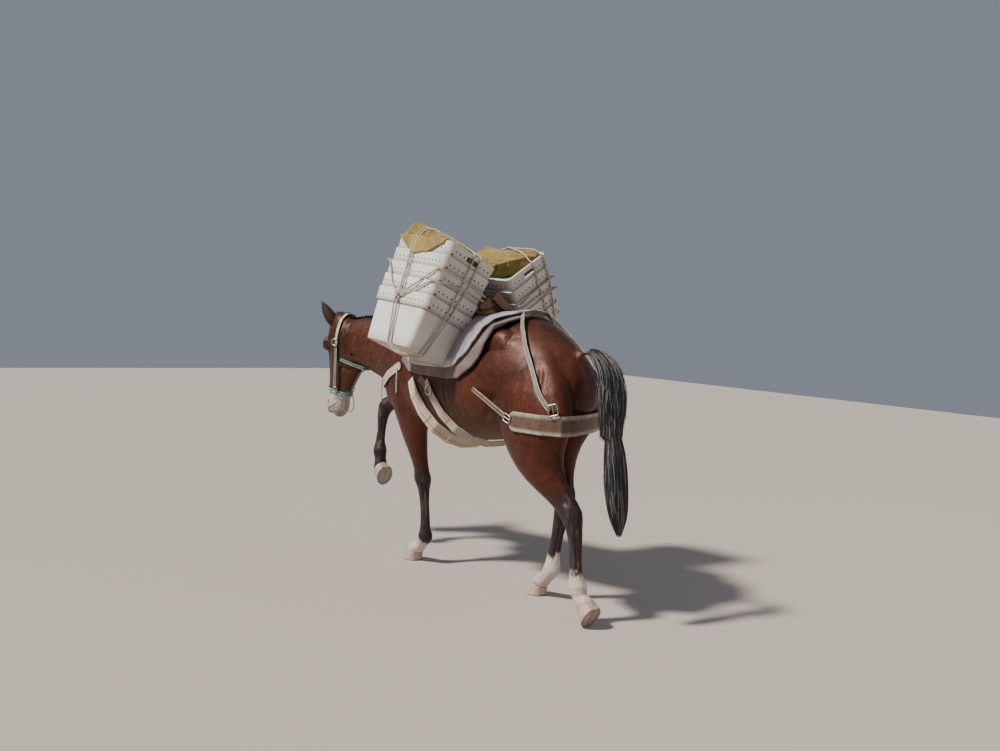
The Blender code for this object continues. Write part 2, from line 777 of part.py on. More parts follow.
def flesh():
    """The body in one skin, parted into named nodes by thin cuts."""
    pieces = [trunk(), neck_body()]
    parted = {}
    for name, (stations, hoof_name, point, out) in LEGS.items():
        lower = leg(name, stations, hoof_name)
        upper = copy_of(lower, name + "_upper")
        inside = region("inside", point, out, (0.9, 0.5, 0.6))
        boolean(lower, inside, "INTERSECT")
        outside = region("outside", point, out, (0.9, 0.5, 0.6), gap=GAP)
        boolean(upper, outside)
        remove([inside, outside])
        pieces.append(upper)
        parted[name] = lower
    for side in (1, -1):
        pieces.append(ball("hip", (-0.480, side * 0.162, 1.262), (0.120, 0.066, 0.088), 8, 4))
        pieces.append(ball("breast", (0.475, side * 0.085, 0.960), (0.095, 0.085, 0.130), 8, 4))
    skull = moved(loft("skull", head_rings()), head_matrix())
    body = union("torso", pieces)
    front = union("neck", [copy_of(body, "neck"), skull])
    head = copy_of(front, "head")
    inside = region("inside", *HEAD_CUT)
    boolean(head, inside, "INTERSECT")
    keep_largest(head)
    past_neck = region("past_neck", *NECK_CUT)
    boolean(front, past_neck, "INTERSECT")
    outside = region("outside", *HEAD_CUT, gap=GAP)
    boolean(front, outside)
    keep_largest(front)
    past_neck_gap = region("past_neck_gap", *NECK_CUT, gap=GAP)
    boolean(body, past_neck_gap)
    keep_largest(body)
    remove([inside, outside, past_neck, past_neck_gap])
    parted["neck"] = front
    parted["head"] = head_details(head)
    parted["torso"] = body
    return parted


# The tail: its hair is laid out on rings of x, z, half depth, half width and lean

BELL = [
    (-0.945, 1.262, 0.030, 0.036, 68),
    (-1.010, 1.235, 0.050, 0.055, 55),
    (-1.075, 1.170, 0.062, 0.075, 30),
    (-1.105, 1.080, 0.062, 0.085, 8),
    (-1.110, 0.980, 0.058, 0.082, 2),
    (-1.112, 0.905, 0.050, 0.070, 0),
    (-1.113, 0.860, 0.045, 0.060, 0),
]
SWITCH = [
    (-1.120, 0.9045, 0.034, 0.044, 0),
    (-1.145, 0.780, 0.048, 0.062, 3),
    (-1.165, 0.640, 0.050, 0.066, 3),
    (-1.185, 0.520, 0.036, 0.050, 3),
    (-1.198, TAIL_TIP_HEIGHT, 0.008, 0.012, 3),
]


def hair_place(stations, way):
    """The middle, inner side, half depth and half width of the hair at a way along it."""
    way = min(max(way, 0.0), len(stations) - 1.0001)
    index = int(way)
    last = len(stations) - 1
    rows = [stations[min(max(i, 0), last)] for i in range(index - 1, index + 3)]
    x, z, deep, wide, lean = smooth_through(rows, 100)[100 + round((way - index) * 100)]
    angle = math.radians(lean)
    return Vector((x, 0, z)), Vector((math.cos(angle), 0, -math.sin(angle))), deep, wide


def lock(stations, start, end, turn, width, sway):
    """A flat lock that lies down the hair from start to end and reaches its outline
    at the tip.  Turn is its place round the hair, 0 on the left and 90 in front."""
    rings = []
    steps = ((0.0, 0.30), (0.38, 1.0), (0.72, 0.70), (1.0, 0.06))
    for way, share in steps:
        middle, fore, deep, wide = hair_place(stations, start + (end - start) * way)
        angle = math.radians(turn + sway * way)
        reach = TAIL_CORE * 0.72 + (1.0 - TAIL_CORE * 0.72) * way ** 0.75
        spoke = LEFT * wide * math.cos(angle) + fore * deep * math.sin(angle)
        side = (fore * deep * math.cos(angle) - LEFT * wide * math.sin(angle)).normalized()
        out = spoke.normalized()
        point = middle + spoke * reach
        half = width * share / 2
        thick = LOCK_THICKNESS * share ** 0.5 / 2
        rings.append([point + side * half, point + out * thick, point - side * half, point - out * thick])
    return loft("lock", rings)


def hair(stations, tiers, count, width, seed):
    """Locks in tiers round the hair, each tier turned by half a step against the last."""
    draw = random.Random(seed)
    locks = []
    for tier, (start, end) in enumerate(tiers):
        for k in range(count):
            turn = 360.0 * (k + tier % 2 / 2) / count + draw.uniform(-4, 4)
            tip = end + (end - start) * draw.uniform(-0.14, 0.10)
            locks.append(lock(stations, start + draw.uniform(-0.08, 0.08), tip, turn,
                              width * draw.uniform(0.88, 1.08), draw.uniform(-7, 7)))
    return locks


def core(name, stations, steps, sides):
    """The dense middle of the hair."""
    rings = []
    for x, z, deep, wide, lean in smooth_through(stations, steps):
        angle = math.radians(lean)
        fore = Vector((math.cos(angle), 0, -math.sin(angle)))
        rings.append(section(Vector((x, 0, z)), LEFT, fore, wide * TAIL_CORE, deep * TAIL_CORE,
                             deep * TAIL_CORE, sides))
    return loft(name, rings)


def tail(torso):
    """The dock arches off the croup, and the trimmed upper hair flares over it."""
    path = smooth_through([tuple(TAIL_ROOT + Vector(off)) for off in
                           ((0.080, 0, 0.030), (0, 0, 0), (-0.110, 0, 0.000), (-0.200, 0, -0.055))], 3)
    radii = [0.040 - 0.018 * i / (len(path) - 1) for i in range(len(path))]
    pieces = [sweep("dock", [Vector(row) for row in path], radii, 10), core("middle", BELL[1:-1], 1, 8)]
    pieces += hair(BELL, ((0.75, 2.4), (1.6, 3.5), (2.5, 4.5), (3.4, 5.6)), 5, 0.058, LOCK_SEED)
    return clear_of(union("tail", pieces), [torso])


def tail_switch(upper):
    """The long lower hair, from under the trimmed part to its tip."""
    pieces = [core("middle", SWITCH, 1, 8)]
    pieces += hair(SWITCH, ((0.15, 2.0), (1.0, 3.0), (1.9, 4.0)), 5, 0.044, LOCK_SEED + 1)
    return clear_of(union("tail_switch", pieces), [upper], 0.0004)


# The tubs and what they hold

def stack_matrix(side):
    place, lean, pitch, turn = STACKS[side]
    return (Matrix.Translation(place)
            @ Matrix.Rotation(math.radians(side * turn), 4, "Z")
            @ Matrix.Rotation(math.radians(pitch), 4, "Y")
            @ Matrix.Rotation(math.radians(side * lean), 4, "X"))


def rounded_ring(half_x, half_y, z, corner, per_corner=3):
    points = []
    for quarter, (sx, sy) in enumerate(((1, 1), (-1, 1), (-1, -1), (1, -1))):
        for k in range(per_corner):
            angle = math.pi / 2 * (quarter + k / (per_corner - 1))
            points.append(Vector((sx * (half_x - corner) + corner * math.cos(angle),
                                  sy * (half_y - corner) + corner * math.sin(angle), z)))
    return points


def tub_half(height):
    """Half length and half width of the tub's outer wall at a height."""
    share = height / TUB_HEIGHT
    half_x = (TUB_BASE_LENGTH + (TUB_RIM_LENGTH - 0.016 - TUB_BASE_LENGTH) * share) / 2
    half_y = (TUB_BASE_WIDTH + (TUB_RIM_WIDTH - 0.016 - TUB_BASE_WIDTH) * share) / 2
    return half_x, half_y


def tub(name, level, side, slots):
    """An open tub with flared walls and a thicker band under its rim."""
    ledge = TUB_HEIGHT - TUB_BAND
    base_x, base_y = tub_half(0)
    wall_x, wall_y = tub_half(ledge)
    half_x = TUB_RIM_LENGTH / 2
    half_y = TUB_RIM_WIDTH / 2
    inner_x, inner_y = tub_half(TUB_HEIGHT)
    rings = [
        rounded_ring(base_x, base_y, 0.0, TUB_CORNER),
        rounded_ring(wall_x, wall_y, ledge, TUB_CORNER),
        rounded_ring(half_x - 0.006, half_y - 0.006, ledge, TUB_CORNER),
        rounded_ring(half_x, half_y, TUB_HEIGHT - GAP, TUB_CORNER),
        rounded_ring(inner_x - TUB_WALL, inner_y - TUB_WALL, TUB_HEIGHT - GAP, TUB_CORNER - TUB_WALL),
        rounded_ring(base_x - TUB_WALL, base_y - TUB_WALL, TUB_WALL, TUB_CORNER - TUB_WALL),
    ]
    made = loft(name, rings)
    if slots:
        slot = box(name + "_slot", (-0.3, -0.040, TUB_HEIGHT - 0.052), (0.3, 0.040, TUB_HEIGHT - 0.024))
        boolean(made, slot)
        remove([slot])
    moved(made, Matrix.Translation((0, 0, level * TUB_BAND)))
    made.matrix_world = stack_matrix(side)
    return made


def filling(name, side, crown, front_lean, shares):
    """The wrapped load in the top tub: it fills the tub and bulges over its rim."""
    rise = (TUB_COUNT - 1) * TUB_BAND
    floor = rise + TUB_WALL + 0.001
    brim = rise + TUB_HEIGHT
    base_x, base_y = tub_half(0)
    top_x, top_y = tub_half(TUB_HEIGHT)
    room = TUB_WALL + 0.0032
    rings = [rounded_ring(base_x - room, base_y - room, floor, TUB_CORNER - TUB_WALL),
             rounded_ring(top_x - room, top_y - room, brim + 0.0004, TUB_CORNER - TUB_WALL)]
    for share, height in shares:
        ring = rounded_ring(top_x * share, top_y * share, 0.0, 0.032 * share)
        rings.append([Vector((p.x, p.y, brim + 0.001 + (crown + front_lean * p.x) * height)) for p in ring])
    made = loft(name, rings)
    made.matrix_world = stack_matrix(side)
    return made


def sack(side):
    """A sack in the rear inner corner of the top tub, lower than the rim."""
    rise = (TUB_COUNT - 1) * TUB_BAND
    room = TUB_WALL + 0.0032
    rings = []
    for height, share in ((TUB_WALL + 0.001, 0.98), (0.130, 1.0), (0.205, 0.97), (0.225, 0.72)):
        half_x, half_y = tub_half(height)
        half_x -= room
        half_y -= room
        middle = Vector((-half_x / 2 - 0.004, -side * (half_y / 2 + 0.004), 0))
        ring = rounded_ring((half_x / 2 - 0.006) * share, (half_y / 2 - 0.006) * share, rise + height, 0.026)
        rings.append([p + middle for p in ring])
    made = loft("sack_right", rings)
    made.matrix_world = stack_matrix(side)
    return made


def on_stack(side, points):
    """Points of the stack's own frame, whose Y runs outwards, in the mule's frame."""
    matrix = stack_matrix(side)
    return [matrix @ Vector((x, side * y, z)) for x, y, z in points]


def over_load(side, load, start, end, count=60):
    """Points of a rope pulled tight across the top of a stack, in the stack's own frame."""
    tree = world_tree(load)
    matrix = stack_matrix(side)
    down = -(matrix.to_3x3() @ UP)
    back = matrix.inverted()
    line = []
    for k in range(count + 1):
        x = start[0] + (end[0] - start[0]) * k / count
        y = start[1] + (end[1] - start[1]) * k / count
        hit = tree.ray_cast(matrix @ Vector((x, side * y, 1.2)), down)[0]
        line.append((k, x, y, (back @ hit).z))
    chain = []
    for k, x, y, z in line:
        top = max(row[3] for row in line[max(k - 1, 0):k + 2]) + ROPE_RADIUS + 0.003
        while len(chain) > 1:
            (a, za), (b, zb) = (chain[-2][0], chain[-2][3]), (chain[-1][0], chain[-1][3])
            if (zb - za) * (k - b) > (top - zb) * (b - a):
                break
            chain.pop()
        chain.append((k, x, y, top))
    kept = [chain[0]]
    for point in chain[1:-1]:
        if point[0] - kept[-1][0] >= 7:
            kept.append(point)
    return [point[1:] for point in kept + [chain[-1]]]


def sling_low(way, shift, spread):
    """One strand from the knot down the outer face, under the rear corner and up the rear face."""
    off = ROPE_RADIUS + 0.0018
    turn = off * 0.75
    base_x, base_y = tub_half(0)
    rim_x = TUB_RIM_LENGTH / 2 + off
    rim_y = TUB_RIM_WIDTH / 2 + off
    step = way * 0.013
    rear = shift + way * spread
    return [
        (KNOT[0] + way * 0.008, rim_y + 0.006, KNOT[1] - 0.010),
        (0.016 + step, rim_y - 0.006, 0.200),
        (-0.030 + step, base_y + off, 0.012),
        (-0.040 + step, base_y + turn, -turn),
        (-0.095 + step, 0.100 + step, -0.032),
        (-base_x + 0.020, 0.060 + step, -0.020),
        (-base_x - turn, 0.045 + step, -turn),
        (-base_x - off, 0.040 + step, 0.012),
        (-rim_x, 0.022 + rear * 0.5, 0.204),
        (-rim_x, rear, 0.420),
        (-rim_x, rear, STACK_TOP - 0.004),
        (-rim_x + off - turn, rear, STACK_TOP + turn),
    ]


def lashing(side, load):
    """Rope round one stack: slings under its base and over its load, and a knot on
    the outer side from which strands fan out."""
    name = "lashing_left" if side > 0 else "lashing_right"
    shift, spread = (-0.014, 0.022) if side > 0 else (0.080, 0.045)
    off = ROPE_RADIUS + 0.0018
    turn = off * 0.75
    rim_x = TUB_RIM_LENGTH / 2 + off
    rim_y = TUB_RIM_WIDTH / 2 + off
    runs = []
    for way in (-1, 1):
        low = sling_low(way, shift, spread)
        reach = 0.078 + way * 0.014
        over = over_load(side, load, (0.012 - rim_x, low[-1][1]), (reach, rim_y - 0.012))
        runs.append(low + over + [
            (reach, rim_y - off + turn, STACK_TOP + turn),
            (reach, rim_y, STACK_TOP - 0.004),
            (0.030 + way * 0.010, rim_y, 0.385),
            (KNOT[0] + way * 0.006, rim_y + 0.006, KNOT[1] + 0.008),
        ])
        runs.append([
            (KNOT[0], rim_y + 0.006, KNOT[1]),
            (-0.120, rim_y, 0.330 + way * 0.022),
            (-rim_x + 0.030, rim_y, 0.385 + way * 0.034),
            (-rim_x + off - turn, rim_y - off + turn, 0.388 + way * 0.034),
            (-rim_x, rim_y - 0.030, 0.390 + way * 0.034),
            (-rim_x, 0.0, 0.405 + way * 0.020),
            (-rim_x, -rim_y + 0.010, 0.400 + way * 0.012),
        ])
    runs.append([
        (KNOT[0], rim_y + 0.006, KNOT[1]),
        (0.102, rim_y, 0.302),
        (rim_x - 0.030, rim_y, 0.420),
        (rim_x - off + turn, rim_y - off + turn, 0.425),
        (rim_x, rim_y - 0.030, 0.430),
        (rim_x, 0.040, 0.500),
    ])
    pieces = [sweep(name + "_run", on_stack(side, run), ROPE_RADIUS, 4) for run in runs]
    centre = on_stack(side, [(KNOT[0], rim_y + 0.010, KNOT[1])])[0]
    pieces.append(moved(ball(name + "_knot", (0, 0, 0), (0.018, 0.012, 0.022), 8, 4),
                        Matrix.Translation(centre)))
    return clear_of(union(name, pieces), load)


# What the mule wears

def lifted(on, grid, normals, spare=0.0015, samples=5):
    """The grid raised until what spans its points stays off the things."""
    tree = world_tree(on)
    lift = [[0.0] * len(row) for row in grid]
    shares = [k / (samples - 1) for k in range(samples)]
    for turn in range(4):
        need = [[0.0] * len(row) for row in grid]
        for r in range(len(grid) - 1):
            for c in range(len(grid[0]) - 1):
                corners = [(r, c), (r, c + 1), (r + 1, c), (r + 1, c + 1)]
                spots = [grid[i][j] + normals[i][j] * lift[i][j] for i, j in corners]
                out = sum((normals[i][j] for i, j in corners), Vector()).normalized()
                for a in shares:
                    for b in shares:
                        spot = spots[0].lerp(spots[1], b).lerp(spots[2].lerp(spots[3], b), a)
                        hit = tree.ray_cast(spot + out * 0.1, -out, 0.2)[0]
                        if hit is not None:
                            short = (hit - spot).dot(out) + spare
                            for i, j in corners:
                                need[i][j] = max(need[i][j], short)
        lift = [[a + b for a, b in zip(*rows)] for rows in zip(lift, need)]
    return [[point + normal * high for point, normal, high in zip(*rows)]
            for rows in zip(grid, normals, lift)]


def body_patch(name, on, front, rear_low, rear_top, low, thickness, clear, rows=7, columns=12):
    """A pad over the back: rays from outside find the body round each cross line.
    Its rear edge runs from rear_low at the hem to rear_top on the back, and its
    lower corners are rounded."""
    tree = world_tree(on)
    grid = []
    normals = []
    for row in range(rows + 1):
        along = row / rows
        corner = 16.0 * abs(2 * along - 1) ** 6
        points = []
        outs = []
        for column in range(columns + 1):
            across = 1 - 2 * column / columns
            angle = math.radians(90 - across * (90 - low - corner))
            outward = Vector((0, math.cos(angle), math.sin(angle)))
            rear = rear_top + (rear_low - rear_top) * abs(across) ** 1.6
            start = Vector((front + (rear - front) * along, 0, 1.05)) + outward * 0.8
            hit, normal = tree.ray_cast(start, -outward)[:2]
            points.append(hit)
            outs.append((Vector((0, normal.y, normal.z)).normalized() + outward).normalized())
        grid.append(points)
        normals.append(outs)
    made = slab(name, lifted(on, grid, normals, spare=0.004), normals, thickness, sink=0.0)
    clear_of(made, on, 0.001)
    return clear_of(made, clear, 0.002)


def taut_outline(points):
    """The convex outline of points in the plane, as a strap pulled tight follows it."""
    ordered = sorted(points)

    def half(rows):
        chain = []
        for p in rows:
            while len(chain) > 1:
                (ax, ay), (bx, by) = chain[-2], chain[-1]
                if (bx - ax) * (p[1] - ay) - (by - ay) * (p[0] - ax) > 0:
                    break
                chain.pop()
            chain.append(p)
        return chain[:-1]

    return half(ordered) + half(ordered[::-1])


def slab_points(on, centre, normal, first, second, width):
    """Where the things' surfaces lie within the width, flattened onto the plane."""
    found = []
    half = width / 2
    for thing in on:
        places = [thing.matrix_world @ v.co - centre for v in thing.data.vertices]
        heights = [p.dot(normal) for p in places]
        for edge in thing.data.edges:
            a, b = edge.vertices
            for end in (a, b):
                if abs(heights[end]) <= half:
                    found.append(places[end])
            for level in (-half, half):
                if (heights[a] - level) * (heights[b] - level) < 0:
                    share = (level - heights[a]) / (heights[b] - heights[a])
                    found.append(places[a].lerp(places[b], share))
    return [(p.dot(first), p.dot(second)) for p in found]


def thinned(points, tolerance):
    """The ends and the points that stand off their chord by more than the tolerance."""
    start = Vector(points[0])
    run = Vector(points[-1]) - start
    worst = 0.0
    at = 0
    for i in range(1, len(points) - 1):
        away = Vector(points[i]) - start
        off = abs(run.x * away.y - run.y * away.x) / max(run.length, 1e-9)
        if off > worst:
            worst = off
            at = i
    if worst <= tolerance:
        return [points[0], points[-1]]
    return thinned(points[:at + 1], tolerance)[:-1] + thinned(points[at:], tolerance)


def band(name, on, centre, normal, start, end, width, thickness, tolerance=0.0015, narrow=0.0):
    """A strap pulled tight round things in one plane, from start to end, turning
    about the normal.  Its underside follows the convex outline of all that lies
    within its width, so it touches nothing."""
    centre = Vector(centre)
    normal = Vector(normal).normalized()
    first = Vector(start) - centre
    first = (first - normal * first.dot(normal)).normalized()
    second = normal.cross(first)
    outline = taut_outline(slab_points(on, centre, normal, first, second, width + 0.002))

    def crossing(angle):
        way = (math.cos(angle), math.sin(angle))
        reach = 0.0
        for i, (ax, ay) in enumerate(outline):
            bx, by = outline[(i + 1) % len(outline)]
            turn = way[0] * (by - ay) - way[1] * (bx - ax)
            if abs(turn) > 1e-12:
                far = (ax * (by - ay) - ay * (bx - ax)) / turn
                along = (ax * way[1] - ay * way[0]) / turn
                if -1e-9 <= along <= 1 + 1e-9:
                    reach = max(reach, far)
        return (way[0] * reach, way[1] * reach)

    last = Vector(end) - centre
    stop = math.atan2(last.dot(second), last.dot(first)) % (2 * math.pi)
    corners = []
    for x, y in outline:
        angle = math.atan2(y, x) % (2 * math.pi)
        if 0.001 < angle < stop - 0.001:
            corners.append((angle, (x, y)))
    line = [crossing(0.0)] + [point for angle, point in sorted(corners)] + [crossing(stop)]
    line = thinned(line, tolerance)
    places = [Vector(p) for p in line]
    rows = [[], []]
    outs = [[], []]
    for i, place in enumerate(places):
        ahead = (places[min(i + 1, len(places) - 1)] - place).normalized()
        behind = (place - places[max(i - 1, 0)]).normalized()
        along = (ahead + behind).normalized()
        out = Vector((along.y, -along.x))
        stretch = 1 / max(0.6, out.dot(Vector((behind.y, -behind.x))) if i else 1.0)
        spot = place + out * (tolerance + 0.0006) * stretch
        across = width / 2 - (narrow if i in (0, len(places) - 1) else 0.0)
        for row, height in enumerate((-across, across)):
            rows[row].append(centre + first * spot.x + second * spot.y + normal * height)
            outs[row].append((first * out.x + second * out.y) * stretch)
    return slab(name, rows, outs, thickness, sink=0.0)


def resting(on, centre, normal, radius, bar):
    """The centre moved along the normal until a flat ring there clears the things."""
    tree = world_tree(on)
    normal = Vector(normal).normalized()
    side = normal.orthogonal().normalized()
    over = normal.cross(side)
    highest = -1.0
    for reach in (0.0, 0.55, 1.0, 1.2):
        for k in range(16):
            angle = math.pi * k / 8
            spot = Vector(centre) + (side * math.cos(angle) + over * math.sin(angle)) * radius * reach
            hit = tree.ray_cast(spot + normal * 0.15, -normal)[0]
            if hit is not None:
                highest = max(highest, (hit - Vector(centre)).dot(normal))
    return Vector(centre) + normal * (highest + bar + 0.0015)


def buckle(name, centre, normal, along, wide, high, bar):
    """A square metal buckle frame that lies flat on its strap."""
    normal = Vector(normal).normalized()
    along = Vector(along)
    along = (along - normal * along.dot(normal)).normalized()
    side = normal.cross(along)
    outer = [Vector(centre) + along * a * high / 2 + side * b * wide / 2
             for a, b in ((1, 1), (-1, 1), (-1, -1), (1, -1))]
    rounded = []
    for i, corner in enumerate(outer):
        rounded.append(corner.lerp(outer[i - 1], 0.22))
        rounded.append(corner.lerp(outer[(i + 1) % 4], 0.22))
    return sweep(name, rounded, bar, 5, loop=True)


def ring(name, centre, normal, radius, bar, sides=4, turns=10):
    """A round ring of bar stock about the normal."""
    normal = Vector(normal).normalized()
    side = normal.orthogonal().normalized()
    over = normal.cross(side)
    path = []
    for k in range(turns):
        angle = 2 * math.pi * k / turns
        path.append(Vector(centre) + (side * math.cos(angle) + over * math.sin(angle)) * radius)
    return sweep(name, path, bar, sides, loop=True)


def hanging(on, x, top, bottom):
    """A route straight down on the left, just off the furthest surface that it passes."""
    tree = world_tree(on)
    heights = [top + (bottom - top) * k / 8 for k in range(9)]
    reach = 0.0
    for z in heights:
        for offset in (-0.006, 0.0, 0.006):
            hit = tree.ray_cast(Vector((x + offset, 0.6, z)), -LEFT)[0]
            if hit is not None:
                reach = max(reach, hit.y)
    return [(x + 0.002 * math.sin(4 * k / 8), reach + ROPE_END / 2 + 0.002, z)
            for k, z in enumerate(heights)]


def cord(name, points):
    """A free cord: a round curve through points two or three diameters apart."""
    curve = bpy.data.curves.new(name, "CURVE")
    curve.dimensions = "3D"
    curve.bevel_depth = ROPE_END / 2
    curve.bevel_resolution = 2
    curve.use_fill_caps = True
    spline = curve.splines.new("POLY")
    spline.points.add(len(points) - 1)
    for point, place in zip(spline.points, points):
        point.co = (*place, 1.0)
    made = bpy.data.objects.new(name, curve)
    bpy.context.scene.collection.objects.link(made)
    return made


def sawbuck(on, clear):
    """The packsaddle: two crossed pairs of boards on two side bars."""
    tree = world_tree(on)

    def bar_place(x, side):
        angle = math.radians(90 - side * 13)
        outward = Vector((0, math.cos(angle), math.sin(angle)))
        hit, normal = tree.ray_cast(Vector((x, 0, 1.05)) + outward * 0.8, -outward)[:2]
        return hit, Vector((0, normal.y, normal.z)).normalized()

    pieces = []
    for side in (1, -1):
        grid = []
        normals = []
        for x in (-0.300, -0.200, -0.100, 0.000, 0.100, 0.235):
            place, normal = bar_place(x, side)
            slope = Vector((0, -normal.z, normal.y)) * 0.028
            grid.append([place + slope, place - slope])
            normals.append([normal, normal])
        pieces.append(slab("bar", lifted(on, grid, normals, samples=9), normals, 0.018, sink=0.0))
    for middle_x in (-0.235, 0.165):
        for side in (1, -1):
            x = middle_x + side * 0.009
            place, normal = bar_place(x, side)
            low = Vector((x, place.y, place.z)) + normal * 0.021
            high = Vector((x, -side * 0.022, 1.505))
            across = (high - low).normalized().cross(Vector((1, 0, 0)))
            half = Vector((0.011, 0, 0))
            rings = []
            for point in (low, high):
                rings.append([point + across * 0.024 + half, point - across * 0.024 + half,
                              point - across * 0.024 - half, point + across * 0.024 - half])
            pieces.append(loft("cross", rings))
    return clear_of(union("packsaddle", pieces), list(on) + list(clear))


COAT = material("bay_coat", (0.16, 0.062, 0.033), 0.55)
MUZZLE = material("head_coat", (0.14, 0.055, 0.032), 0.55)
LEG_COAT = material("leg_coat", (0.10, 0.05, 0.035), 0.6)
BLACK_HAIR = material("black_hair", (0.025, 0.025, 0.028), 0.55)
HORN = material("hoof_horn", (0.42, 0.36, 0.29), 0.5)
EYE_GLOSS = material("eye_gloss", (0.02, 0.012, 0.008), 0.08)
TUB_PLASTIC = material("tub_plastic", (0.82, 0.82, 0.80), 0.45)
CANVAS = material("khaki_canvas", (0.42, 0.33, 0.13), 0.85)
GREEN_CLOTH = material("green_cloth", (0.07, 0.30, 0.03), 0.8)
BLANKET = material("blanket_wool", (0.30, 0.31, 0.36), 0.95)
FELT = material("pad_felt", (0.28, 0.20, 0.15), 0.95)
LEATHER = material("harness_leather", (0.22, 0.13, 0.08), 0.6)
WEBBING = material("pale_webbing", (0.62, 0.55, 0.45), 0.85)
ROPE = material("cotton_rope", (0.66, 0.58, 0.47), 0.85)
GREEN_WEB = material("green_webbing", (0.12, 0.33, 0.24), 0.7)
STEEL = material("steel_fitting", (0.60, 0.60, 0.60), 0.3, 1.0)
BRASS = material("brass_fitting", (0.75, 0.66, 0.42), 0.35, 1.0)
WOOD = material("saddle_wood", (0.36, 0.18, 0.08), 0.6)


